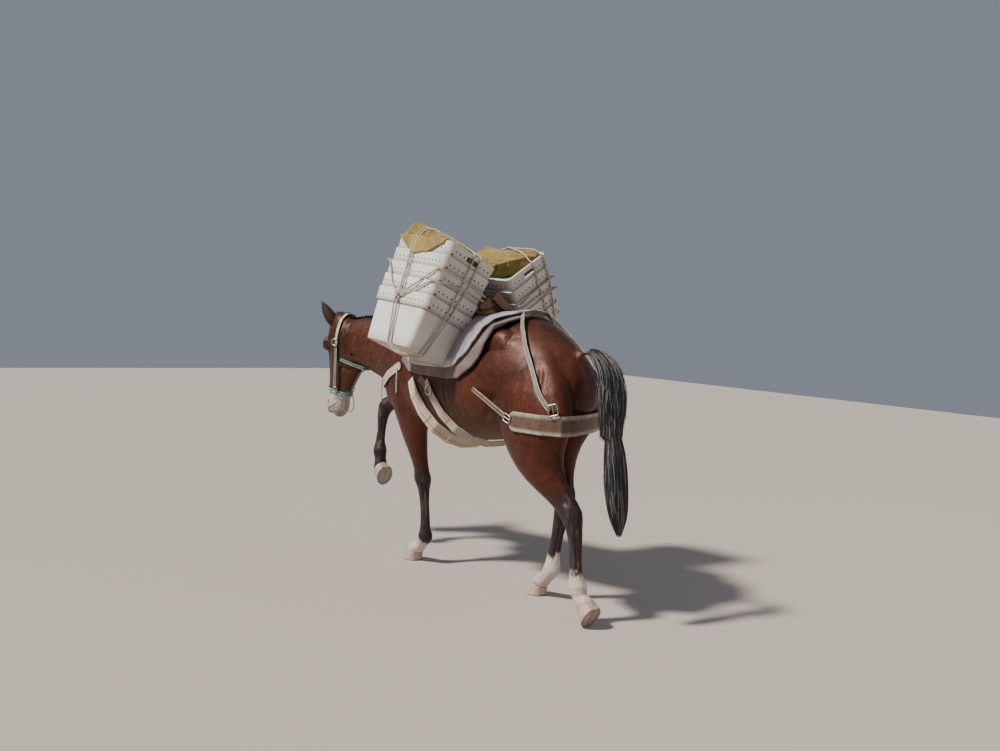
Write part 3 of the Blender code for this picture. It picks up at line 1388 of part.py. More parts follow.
def main():
    clear_scene()
    nodes = {}

    def keep(thing, look):
        thing.data.materials.clear()
        thing.data.materials.append(look)
        nodes[thing.name] = thing
        return thing

    parts = flesh()
    torso = parts["torso"]
    head = parts["head"]
    neck = parts["neck"]
    for name, piece in parts.items():
        piece.name = name
        keep(piece, MUZZLE if name == "head" else LEG_COAT if "leg" in name else COAT)
    for name in HOOF_PLACES:
        keep(hoof(name), HORN)
    frame = head_matrix()
    for name, side in (("left", 1), ("right", -1)):
        keep(eye("eye_" + name, side), EYE_GLOSS)
        root = frame @ Vector((0.000, side * 0.052, -0.050))
        tip = root + EAR_WAYS[side].normalized() * EAR_LENGTH
        keep(clear_of(ear("ear_" + name, root, tip, EAR_MOUTHS[side]), [head, neck]), BLACK_HAIR)
    upper_tail = keep(tail(torso), BLACK_HAIR)
    keep(tail_switch(upper_tail), BLACK_HAIR)

    tubs = []
    for name, side in (("left", 1), ("right", -1)):
        for level in range(TUB_COUNT):
            made = tub("tub_%s_%d" % (name, level + 1), level, side, level == TUB_COUNT - 1)
            tubs.append(keep(made, TUB_PLASTIC))
    bpy.context.view_layer.update()
    full = ((0.975, 0.02), (0.985, 0.30), (0.94, 0.68), (0.76, 0.92), (0.40, 1.0))
    keep(filling("manty_left", 1, 0.060, 0.25, full), CANVAS)
    flat = ((0.955, 0.10), (0.93, 0.45), (0.82, 0.80), (0.45, 1.0))
    right = filling("manty_right", -1, 0.035, 0.02, flat)
    green = keep(sack(-1), GREEN_CLOTH)
    bpy.context.view_layer.update()
    corner = region("corner", (-0.085, 0.040, 0.50), (-0.75, 0.66, 0), (0.30, 0.40, 0.60))
    corner.matrix_world = stack_matrix(-1)
    boolean(right, corner)
    remove([corner])
    keep(clear_of(right, [green]), CANVAS)
    low_tubs = tubs[:3] + tubs[TUB_COUNT:TUB_COUNT + 3]

    pad = keep(body_patch("saddle_pad", [torso], 0.270, -0.400, -0.545, 4, 0.014, low_tubs), FELT)
    blanket = keep(body_patch("saddle_blanket", [torso, pad], 0.245, -0.355, -0.505, 15, 0.009, low_tubs),
                   BLANKET)
    keep(sawbuck([torso, pad, blanket], tubs), WOOD)

    seat = keep(band("breeching", [torso], (-0.700, 0, 0.9165), UP, (-0.700, 0.270, 0.9165),
                     (-0.700, -0.270, 0.9165), 0.097, 0.005, narrow=0.020), LEATHER)
    hip = keep(band("hip_strap", [torso, pad, blanket], (-0.790, 0, 1.150), (0.742, 0, -0.670), (-0.960, 0.240, 0.985),
                    (-0.960, -0.240, 0.985), 0.030, 0.004), WEBBING)
    for name, side in (("left", 1), ("right", -1)):
        ends = [(-0.410, side * 0.270, 1.040), (-0.676, side * 0.270, 0.932)]
        keep(band("quarter_strap_" + name, [torso], (-0.550, 0, 0.985), (-0.382, 0, 0.924), ends[side < 0],
                  ends[side > 0], 0.024, 0.004), LEATHER)
    for name, top_x, lean, width in (("front", 0.185, 0.842, 0.085), ("rear", 0.015, 0.983, 0.055)):
        keep(band("cinch_" + name, [torso], (top_x - 0.18 * lean, 0, 0.88), (-1, 0, lean), (top_x, 0.260, 1.052),
                  (top_x, -0.260, 1.052), width, 0.006), ROPE)
    keep(band("breast_collar", [torso, neck], (0.300, 0, 1.100), (-0.436, 0, -0.900), (0.290, 0.222, 1.100),
              (0.290, -0.222, 1.100), 0.045, 0.005), WEBBING)
    keep(strap("latigo_left", [(0.080, 0.250, 1.052), (0.020, 0.262, 1.030), (-0.020, 0.265, 1.000)], 0.040, 0.004,
               [torso], steps=2, across=1, clear=[pad, nodes["cinch_front"], nodes["cinch_rear"]]), LEATHER)

    def on_head(points):
        return [frame @ Vector(p) for p in points]

    turn = frame.to_3x3()
    ears = [nodes["ear_left"], nodes["ear_right"]]
    middle, start, end = on_head([(-0.052, 0, -0.200), (-0.041, 0.060, -0.412), (-0.041, -0.060, -0.412)])
    stall = keep(clear_of(band("halter_headstall", [head], middle, turn @ Vector((0.998, 0, 0.057)), start, end,
                               0.022, 0.003, tolerance=0.001), ears), GREEN_WEB)
    middle, start, end = on_head([(-0.030, 0, -0.445), (-0.122, 0.0015, -0.461), (-0.122, -0.0015, -0.461)])
    nose = keep(band("halter_noseband", [head], middle, turn @ Vector((0.168, 0, -0.986)), start, end,
                     0.024, 0.003, tolerance=0.001), GREEN_WEB)
    middle, start, end = on_head([(-0.120, 0, -0.252), (-0.068, 0.090, -0.240), (-0.068, -0.090, -0.240)])
    throat = keep(clear_of(band("halter_throat", [head], middle, turn @ Vector((-0.233, 0, 0.972)), start, end,
                                0.020, 0.003, tolerance=0.001), [neck]), GREEN_WEB)
    middle, start, end = on_head([(-0.060, 0, -0.360), (-0.232, 0.0, -0.302), (-0.135, 0.0, -0.436)])
    keep(band("halter_jaw_strap", [head], middle, turn @ Vector((0, -1, 0)), start, end, 0.020, 0.003,
              tolerance=0.001), GREEN_WEB)

    on = [head, stall, nose]
    for name, side in (("left", 1), ("right", -1)):
        out = turn @ Vector((-0.25, side * 0.95, -0.05))
        for piece, place, radius, bar, look in (("halter_ring_", (-0.043, 0.060, -0.428), 0.016, 0.0028, STEEL),
                                                ("halter_slide_", (-0.050, 0.090, -0.140), 0.020, 0.0030, BRASS)):
            spot = resting(on, frame @ Vector((place[0], side * place[1], place[2])), out, radius, bar)
            keep(ring(piece + name, spot, out, radius, bar), look)
    side_links = [(-0.047, 0.072, -0.456), (-0.066, 0.066, -0.500), (-0.092, 0.046, -0.540)]
    links = on_head(side_links + [(-0.108, 0.0, -0.562)] + [(x, -y, z) for x, y, z in side_links[::-1]])
    path = [Vector(p) for p in smooth_through([tuple(p) for p in links], 3)]
    beads = [0.0022 + 0.0020 * (k % 2) for k in range(len(path))]
    keep(clear_of(sweep("chin_chain", path, beads, 5), [head, nose, nodes["halter_ring_left"],
                                                        nodes["halter_ring_right"]]), STEEL)

    on = [torso, hip, seat, nodes["quarter_strap_left"], nodes["quarter_strap_right"]]
    for name, side in (("left", 1), ("right", -1)):
        out = Vector((-0.55, side * 0.83, 0.12)).normalized()
        spot = resting(on, (-0.955, side * 0.226, 0.990), out, 0.034, 0.003)
        keep(buckle("hip_buckle_" + name, spot, out, (0, 0, 1), 0.044, 0.050, 0.003), STEEL)
        out = Vector((-0.05, side, 0.0)).normalized()
        spot = resting(on, (-0.700, side * 0.275, 0.926), out, 0.030, 0.003)
        keep(buckle("quarter_buckle_" + name, spot, out, (1, 0, 0.1), 0.036, 0.044, 0.003), STEEL)
    on = [torso, pad, nodes["cinch_front"], nodes["cinch_rear"], nodes["latigo_left"]]
    spot = resting(on, (-0.052, 0.276, 1.000), (0.05, 1.0, 0.0), 0.026, 0.004)
    keep(ring("cinch_ring_left", spot, (0.05, 1.0, 0.0), 0.026, 0.004), STEEL)

    for side in (1, -1):
        load = [nodes["manty_left"]] if side > 0 else [nodes["manty_right"], green]
        keep(lashing(side, load + [tubs[4] if side > 0 else tubs[9]]), ROPE)
    loose = [torso, pad, nodes["breast_collar"]]
    keep(cord("rope_end_front", hanging(loose, 0.524, 1.010, 0.875)), ROPE)
    keep(cord("rope_end_side", hanging(loose, 0.298, 1.085, 0.950)), ROPE)

    stand = bpy.data.objects.new("pack_mule", None)
    bpy.context.scene.collection.objects.link(stand)
    stand.location = (-CENTRE_X, -CENTRE_Y, 0)
    for thing in nodes.values():
        thing.parent = stand
        if thing.type == "MESH":
            thing.data.shade_smooth()
            thing.data.set_sharp_from_angle(angle=math.radians(38))


main()
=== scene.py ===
import math

import bmesh
import bpy
import numpy as np
from mathutils import Matrix, Vector
from mathutils.bvhtree import BVHTree


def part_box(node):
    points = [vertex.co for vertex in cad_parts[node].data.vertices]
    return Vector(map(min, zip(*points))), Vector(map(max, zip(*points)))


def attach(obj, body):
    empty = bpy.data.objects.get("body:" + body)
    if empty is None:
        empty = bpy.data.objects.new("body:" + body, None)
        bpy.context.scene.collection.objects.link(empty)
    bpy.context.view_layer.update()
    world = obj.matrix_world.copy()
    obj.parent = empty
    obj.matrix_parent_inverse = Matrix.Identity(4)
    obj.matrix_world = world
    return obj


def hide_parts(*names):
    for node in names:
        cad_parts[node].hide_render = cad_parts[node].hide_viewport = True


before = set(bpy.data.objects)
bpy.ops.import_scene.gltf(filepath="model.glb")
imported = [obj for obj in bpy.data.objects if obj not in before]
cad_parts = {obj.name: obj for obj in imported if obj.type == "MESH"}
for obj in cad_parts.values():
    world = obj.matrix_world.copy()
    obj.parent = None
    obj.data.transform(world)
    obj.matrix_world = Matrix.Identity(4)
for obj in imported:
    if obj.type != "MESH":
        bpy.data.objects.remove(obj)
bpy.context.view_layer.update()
print("frame loaded")

# The body is laid out with x = 0 under the saddle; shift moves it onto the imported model.
shift = np.array([-0.002, 0.029, 0.0])
left = np.array([0.0, 1.0, 0.0])
up = np.array([0.0, 0.0, 1.0])


# Small tools: smooth rows, rings, grids, noise and meshes

# Catmull-Rom curve: each span between two rows is filled with steps rows.
def smoothRows(rows, steps):
    rows = np.asarray(rows, float)
    last = len(rows) - 1
    t = (np.arange(last * steps) % steps / steps)[:, None]
    i = np.arange(last * steps) // steps
    a, b, c, d = (rows[np.clip(i + k, 0, last)] for k in (-1, 0, 1, 2))
    filled = 0.5 * (2 * b + (c - a) * t + (2 * a - 5 * b + 4 * c - d) * t ** 2
                    + (3 * b - a - 3 * c + d) * t ** 3)
    return np.vstack([filled, rows[-1:]])


# Rings: centre + left * wide * cos^power + rise * height * sin, one row for each centre.
def ringRow(centre, rise, wide, above, below, peak, belly, count):
    angle = 2 * np.pi * np.arange(count) / count
    c, s = np.cos(angle)[None, :], np.sin(angle)[None, :]
    power = np.where(s > 0, peak[:, None], belly[:, None])
    height = np.where(s > 0, above[:, None], below[:, None])
    across = wide[:, None] * np.sign(c) * np.abs(c) ** power
    return centre[:, None, :] + left * across[..., None] + rise[:, None, :] * (height * s)[..., None]


# The four corners of each cell of a grid; closed joins the last column to the first.
def gridQuads(rows, columns, closed=False):
    wide = columns if closed else columns - 1
    r, c = np.meshgrid(np.arange(rows - 1), np.arange(wide), indexing="ij")
    n = (c + 1) % columns
    return np.stack([r * columns + c, r * columns + n, (r + 1) * columns + n, (r + 1) * columns + c],
                    -1).reshape(-1, 4)


# One mesh object from an array of points and an array, or a list of arrays, of faces.
def meshObject(name, points, faces, smooth=True):
    lists = faces if isinstance(faces, list) else [faces]
    mesh = bpy.data.meshes.new(name)
    mesh.from_pydata(np.asarray(points, float).reshape(-1, 3).tolist(), [],
                     [row for part in lists for row in np.asarray(part).tolist()])
    if smooth:
        mesh.shade_smooth()
    made = bpy.data.objects.new(name, mesh)
    bpy.context.scene.collection.objects.link(made)
    return made


# Merge what lies together and turn every face outwards.
def outward(thing, merge=0.0):
    shell = bmesh.new()
    shell.from_mesh(thing.data)
    if merge:
        bmesh.ops.remove_doubles(shell, verts=shell.verts, dist=merge)
    bmesh.ops.recalc_face_normals(shell, faces=shell.faces)
    shell.to_mesh(thing.data)
    shell.free()
    return thing


# A closed skin over rings of one count, with a fan at both ends.
def loft(name, rings, smooth=True):
    rows, columns = rings.shape[:2]
    points = np.vstack([rings.reshape(-1, 3), rings[0].mean(0)[None], rings[-1].mean(0)[None]])
    k = np.arange(columns)
    n = (k + 1) % columns
    first, last = rows * columns, (rows - 1) * columns
    caps = np.vstack([np.stack([n, k, np.full(columns, first)], -1),
                      np.stack([last + k, last + n, np.full(columns, first + 1)], -1)])
    return outward(meshObject(name, points, [gridQuads(rows, columns, True), caps], smooth))


def coordsOf(thing):
    co = np.zeros(len(thing.data.vertices) * 3, np.float32)
    thing.data.vertices.foreach_get("co", co)
    return co.reshape(-1, 3).astype(float)


def setCoords(thing, points):
    thing.data.vertices.foreach_set("co", np.asarray(points, np.float32).ravel())
    thing.data.update()


def normalsOf(thing):
    values = np.zeros(len(thing.data.vertices) * 3, np.float32)
    thing.data.vertices.foreach_get("normal", values)
    return values.reshape(-1, 3).astype(float)


def applyModifiers(thing):
    graph = bpy.context.evaluated_depsgraph_get()
    mesh = bpy.data.meshes.new_from_object(thing.evaluated_get(graph))
    thing.modifiers.clear()
    thing.data = mesh
    return thing


def remesh(thing, voxel):
    step = thing.modifiers.new("even", "REMESH")
    step.mode = "VOXEL"
    step.voxel_size = voxel
    return applyModifiers(thing)


# All the meshes in one object, with their places kept.
def joined(name, things):
    shell = bmesh.new()
    for thing in things:
        shell.from_mesh(thing.data)
    mesh = bpy.data.meshes.new(name)
    shell.to_mesh(mesh)
    shell.free()
    for thing in things:
        bpy.data.objects.remove(thing)
    made = bpy.data.objects.new(name, mesh)
    bpy.context.scene.collection.objects.link(made)
    return made


# Value noise from -1 to 1 in cells of the given size, smooth between their corners.
def noise(points, size, seed=0):
    p = np.asarray(points, float) / np.asarray(size) + 37.0 + 11.3 * seed
    cell = np.floor(p).astype(np.int64)
    f = p - cell
    f = f * f * (3 - 2 * f)
    total = np.zeros(len(p))
    for dx in (0, 1):
        for dy in (0, 1):
            for dz in (0, 1):
                h = ((cell[:, 0] + dx) * 73856093 ^ (cell[:, 1] + dy) * 19349663
                     ^ (cell[:, 2] + dz) * 83492791 ^ seed * 2654435)
                h = (h ^ (h >> 13)) * 1274126177 & 0x7FFFFFFF
                weight = (np.where(dx, f[:, 0], 1 - f[:, 0]) * np.where(dy, f[:, 1], 1 - f[:, 1])
                          * np.where(dz, f[:, 2], 1 - f[:, 2]))
                total += weight * ((h >> 7 & 0xFFFF) / 32767.5 - 1)
    return total


# Distance from each point to a polyline, and the way along it from 0 to its point count less 1.
def toPath(points, path):
    path = np.asarray(path, float)
    best = np.full(len(points), 1e9)
    way = np.zeros(len(points))
    for i in range(len(path) - 1):
        a, run = path[i], path[i + 1] - path[i]
        t = np.clip((points - a) @ run / max(run @ run, 1e-12), 0, 1)
        far = np.linalg.norm(points - a - t[:, None] * run, axis=1)
        near = far < best
        best[near] = far[near]
        way[near] = i + t[near]
    return best, way


# 0 below low, 1 above high and smooth between.
def softStep(x, low, high):
    t = np.clip((x - low) / (high - low), 0, 1)
    return t * t * (3 - 2 * t)


def unit(v):
    v = np.asarray(v, float)
    return v / np.maximum(np.linalg.norm(v, axis=-1, keepdims=True), 1e-12)


def stepLengths(line):
    return np.linalg.norm(np.diff(line, axis=0), axis=1)


# A table's first three columns, read between its rows at the row numbers in at.
def readRows(table, at):
    return np.stack([np.interp(at, np.arange(len(table)), table[:, k]) for k in range(3)], -1)


# Camera, lights and floor

camera = {
    "place": (-4.456, 3.526, 1.460),
    "look": (0.76328, -0.64254, -0.06739),
    "right": (-0.64052, -0.76624, 0.05111),
    "focalPixels": 1055.0,
    "imageWidth": 1000.0,
    "sensorWidth": 36.0,
    "clip": (0.05, 100.0),
}
studio = {
    "sunWay": (0.20, 0.62, 0.76),   # from the model to the light
    "sunStrength": 5.6,
    "sunAngle": 6.0,
    "sunColour": (1.0, 0.96, 0.90),
    "skyColour": (0.72, 0.80, 0.95),
    "skyStrength": 0.30,
    "fillPlace": (-4.5, -2.5, 3.0),
    "fillAim": (0.0, 0.0, 1.0),
    "fillPower": 35.0,
    "fillSize": 3.0,
    "floorHalf": 14.0,
    "floorHeight": -0.0005,
    "floorColour": (0.44, 0.38, 0.34),
}


def makeCamera(values):
    lens = bpy.data.cameras.new("camera")
    lens.sensor_width = values["sensorWidth"]
    lens.lens = values["focalPixels"] / values["imageWidth"] * lens.sensor_width
    lens.clip_start, lens.clip_end = values["clip"]
    made = bpy.data.objects.new("camera", lens)
    bpy.context.scene.collection.objects.link(made)
    back = -Vector(values["look"]).normalized()
    side = Vector(values["right"]).normalized()
    turn = Matrix((side, back.cross(side), back)).transposed()
    made.matrix_world = Matrix.Translation(values["place"]) @ turn.to_4x4()
    bpy.context.scene.camera = made


def makeStudio(values):
    world = bpy.data.worlds.new("studio")
    world.use_nodes = True
    sky = world.node_tree.nodes["Background"]
    sky.inputs["Color"].default_value = (*values["skyColour"], 1)
    sky.inputs["Strength"].default_value = values["skyStrength"]
    bpy.context.scene.world = world
    sun = bpy.data.lights.new("sun", "SUN")
    sun.energy, sun.angle = values["sunStrength"], math.radians(values["sunAngle"])
    sun.color = values["sunColour"]
    fill = bpy.data.lights.new("fill", "AREA")
    fill.energy, fill.size = values["fillPower"], values["fillSize"]
    fillBack = Vector(values["fillPlace"]) - Vector(values["fillAim"])
    lights = ((sun, (0, 0, 0), Vector(values["sunWay"])), (fill, values["fillPlace"], fillBack))
    for light, place, back in lights:
        made = bpy.data.objects.new(light.name, light)
        made.location = place
        made.rotation_euler = back.to_track_quat("Z", "Y").to_euler()
        bpy.context.scene.collection.objects.link(made)
    half, z = values["floorHalf"], values["floorHeight"]
    corners = [(-half, -half, z), (half, -half, z), (half, half, z), (-half, half, z)]
    floor = meshObject("floor", corners, np.array([[0, 1, 2, 3]]))
    floor.data.materials.append(Finish("floor", values["floorColour"], 0.9).material)


# Materials: one small builder, so that each finish reads as its own short recipe

# A Principled material. colour may be a node's output, and bump takes a height output.
class Finish:
    def __init__(self, name, colour=None, roughness=0.5, metallic=0.0, **sockets):
        self.material = bpy.data.materials.new(name)
        self.material.use_nodes = True
        self.tree = self.material.node_tree
        self.shader = self.tree.nodes["Principled BSDF"]
        self.put("Roughness", roughness)
        self.put("Metallic", metallic)
        if colour is not None:
            self.put("Base Color", colour)
        for socket, value in sockets.items():
            self.put(socket.replace("_", " "), value)

    def put(self, socket, value):
        if isinstance(value, bpy.types.NodeSocket):
            self.tree.links.new(value, self.shader.inputs[socket])
        elif isinstance(value, tuple) and len(value) == 3 and self.shader.inputs[socket].type == "RGBA":
            self.shader.inputs[socket].default_value = (*value, 1)
        else:
            self.shader.inputs[socket].default_value = value

    def node(self, kind, output, **inputs):
        made = self.tree.nodes.new(kind)
        for key, value in inputs.items():
            if key.startswith("set_"):
                setattr(made, key[4:], value)
                continue
            socket = made.inputs[int(key[1:])] if key[0] == "i" and key[1:].isdigit() else made.inputs[key]
            if isinstance(value, bpy.types.NodeSocket):
                self.tree.links.new(value, socket)
            else:
                socket.default_value = value
        return made.outputs[output]

    def place(self, scale=(1, 1, 1)):
        spot = self.node("ShaderNodeTexCoord", "Object")
        return self.node("ShaderNodeMapping", "Vector", Vector=spot, Scale=scale)

    def speckle(self, scale, detail=4.0, where=None):
        return self.node("ShaderNodeTexNoise", "Fac", Vector=where or self.place(), Scale=scale,
                         Detail=detail, Roughness=0.6)

    def threads(self, scale, distortion):
        return self.node("ShaderNodeTexWave", "Fac", Vector=self.place(), Scale=scale, Distortion=distortion,
                         set_bands_direction="DIAGONAL")

    def ramp(self, value, stops):
        made = self.tree.nodes.new("ShaderNodeValToRGB")
        self.tree.links.new(value, made.inputs[0])
        while len(made.color_ramp.elements) < len(stops):
            made.color_ramp.elements.new(0.5)
        for element, (position, colour) in zip(made.color_ramp.elements, stops):
            element.position = position
            element.color = (*colour, 1) if isinstance(colour, tuple) else (colour, colour, colour, 1)
        return made.outputs["Color"]

    def mix(self, share, a, b, blend="MIX"):
        made = self.tree.nodes.new("ShaderNodeMix")
        made.data_type, made.blend_type = "RGBA", blend
        for index, value in ((0, share), (6, a), (7, b)):
            if isinstance(value, bpy.types.NodeSocket):
                self.tree.links.new(value, made.inputs[index])
            elif isinstance(value, tuple):
                made.inputs[index].default_value = (*value, 1)
            else:
                made.inputs[index].default_value = value
        return made.outputs[2]

    def tint(self):
        return self.node("ShaderNodeAttribute", "Color", set_attribute_name="tint")

    def bump(self, height, strength, distance, below=None):
        made = self.tree.nodes.new("ShaderNodeBump")
        made.inputs["Strength"].default_value = strength
        made.inputs["Distance"].default_value = distance
        self.tree.links.new(height, made.inputs["Height"])
        if below is not None:
            self.tree.links.new(below, made.inputs["Normal"])
        self.tree.links.new(made.outputs["Normal"], self.shader.inputs["Normal"])
        return made.outputs["Normal"]


# Give a piece its material, let it ride, and let it stand for its CAD nodes.
def dress(thing, look, slotName=None, *nodes):
    thing.data.materials.clear()
    thing.data.materials.append(look.material)
    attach(thing, "root")
    if nodes:
        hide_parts(*nodes)
    return thing


makeCamera(camera)
makeStudio(studio)
print("camera, lights and floor made")


# Free rope ends

ropeEnds = {
    "diameter": 0.008,
    "waver": 0.002,
    "points": 33,
    # x, top and bottom of each end that hangs down on the left
    "rope_end_front": (0.522, 1.010, 0.875),
    "rope_end_side": (0.296, 1.085, 0.950),
}


def ropeLook(name, colour):
    look = Finish(name, None, 0.85, Sheen_Weight=0.2)
    strand = look.threads(190.0, 1.5)
    dirt = look.ramp(look.speckle(38.0), [(0.35, 0.0), (0.75, 1.0)])
    pale = look.mix(dirt, colour, tuple(c * 0.55 for c in colour))
    look.put("Base Color", look.mix(0.35, pale, look.ramp(strand, [(0.0, 0.35), (1.0, 1.0)]), "MULTIPLY"))
    look.bump(strand, 0.5, 0.0006)
    return look


creamRope = ropeLook("cotton_rope", (0.62, 0.53, 0.40))


# A limp end: its line wavers a little as it hangs, like the solid that it stands for.
def hangingRope(name, values):
    x, top, bottom = values[name]
    low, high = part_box(name)
    k = np.linspace(0, 1, values["points"])
    middle = np.full(len(k), (low.y + high.y) / 2)
    line = np.stack([x + values["waver"] * np.sin(4 * k), middle, top + (bottom - top) * k], -1)
    curve = bpy.data.curves.new(name + "_rope", "CURVE")
    curve.dimensions = "3D"
    curve.bevel_depth = values["diameter"] / 2
    curve.bevel_resolution = 3
    curve.use_fill_caps = True
    spline = curve.splines.new("POLY")
    spline.points.add(len(line) - 1)
    spline.points.foreach_set("co", np.hstack([line, np.ones((len(line), 1))]).ravel())
    made = bpy.data.objects.new(name + "_rope", curve)
    bpy.context.scene.collection.objects.link(made)
    dress(made, creamRope, "rope", name)


for end in ("rope_end_front", "rope_end_side"):
    hangingRope(end, ropeEnds)


# The body: rings in the body's own layout, with the coat's depth taken off

body = {
    "coatDepth": 0.003,
    "voxel": 0.009,
    "orbitRounds": 40,      # how soft the bone round the eyes is
    "keep": 0.60,           # share of the skin's triangles that stays
    "blendRounds": 46,      # how far shoulders and thighs flow into the trunk
    "poll": (1.089, 0.105, 1.325),
    "headTilt": 1.0,
    "headYaw": 10.0,
    "headLength": 0.58,
    "hoofLength": 0.126,
    "hoofWidth": 0.108,
    "hoofHeight": 0.074,
    # x, top, widest height, bottom, half width, peak
    "trunk": [
        (0.565, 1.16, 1.02, 0.90, 0.070, 1.00), (0.520, 1.26, 1.02, 0.845, 0.140, 1.00),
        (0.430, 1.35, 1.01, 0.800, 0.190, 1.05), (0.310, 1.415, 1.00, 0.775, 0.215, 1.25),
        (0.180, 1.450, 0.99, 0.755, 0.235, 1.45), (0.020, 1.415, 0.99, 0.745, 0.250, 1.20),
        (-0.150, 1.375, 0.99, 0.742, 0.266, 0.95), (-0.300, 1.380, 1.00, 0.755, 0.275, 0.85),
        (-0.450, 1.395, 1.04, 0.790, 0.264, 0.90), (-0.590, 1.398, 1.06, 0.850, 0.246, 1.05),
        (-0.720, 1.345, 1.05, 0.880, 0.222, 1.20), (-0.830, 1.275, 1.04, 0.900, 0.180, 1.25),
        (-0.900, 1.200, 1.03, 0.930, 0.120, 1.20), (-0.935, 1.130, 1.03, 0.970, 0.060, 1.00),
    ],
    # x, y, middle height, half depth, half width, lean
    "neck": [
        (0.200, 0.000, 1.130, 0.250, 0.150, 0), (0.380, 0.000, 1.135, 0.255, 0.145, 0),
        (0.520, 0.002, 1.150, 0.240, 0.122, 4), (0.660, 0.018, 1.172, 0.203, 0.100, 8),
        (0.790, 0.046, 1.190, 0.168, 0.088, 8), (0.900, 0.070, 1.198, 0.148, 0.080, 8),
        (1.030, 0.094, 1.205, 0.118, 0.066, 8),
    ],
    # way down from the poll, face, jaw, half width, narrowing of the jaw
    "head": [
        (-0.030, 0.030, -0.060, 0.040, 1.0), (0.000, 0.052, -0.105, 0.064, 1.0),
        (0.060, 0.072, -0.160, 0.083, 1.0), (0.120, 0.083, -0.198, 0.090, 1.1),
        (0.180, 0.084, -0.222, 0.084, 1.25), (0.250, 0.079, -0.224, 0.070, 1.3),
        (0.320, 0.072, -0.190, 0.060, 1.2), (0.390, 0.067, -0.146, 0.054, 1.05),
        (0.450, 0.065, -0.113, 0.054, 0.95), (0.505, 0.064, -0.088, 0.060, 0.85),
        (0.550, 0.056, -0.084, 0.060, 0.85), (0.585, 0.036, -0.070, 0.048, 0.85),
        (0.602, 0.012, -0.045, 0.028, 0.9),
    ],
    "dock": [
        (-0.785, 0.0, 1.278, 0.040), (-0.865, 0.0, 1.248, 0.035), (-0.975, 0.0, 1.248, 0.030),
        (-1.065, 0.0, 1.193, 0.024), (-1.105, 0.0, 1.090, 0.018), (-1.112, 0.0, 0.990, 0.012),
    ],
    # centre and half sizes of balls that fill the skin out: hip and breast, then brow and jaw, then lips;
    # those of the face and the lips are in the head's frame
    "bodyBalls": [((-0.480, 0.160, 1.262), (0.118, 0.064, 0.086)),
                  ((0.475, 0.085, 0.960), (0.093, 0.083, 0.128))],
    "faceBalls": [((0.054, 0.064, -0.156), (0.028, 0.024, 0.038)),
                  ((-0.110, 0.042, -0.205), (0.098, 0.026, 0.093))],
    "lipBalls": [((0.029, 0, -0.551), (0.041, 0.051, 0.035)), ((-0.022, 0, -0.572), (0.038, 0.041, 0.030)),
                 ((-0.057, 0, -0.547), (0.029, 0.033, 0.033))],
}
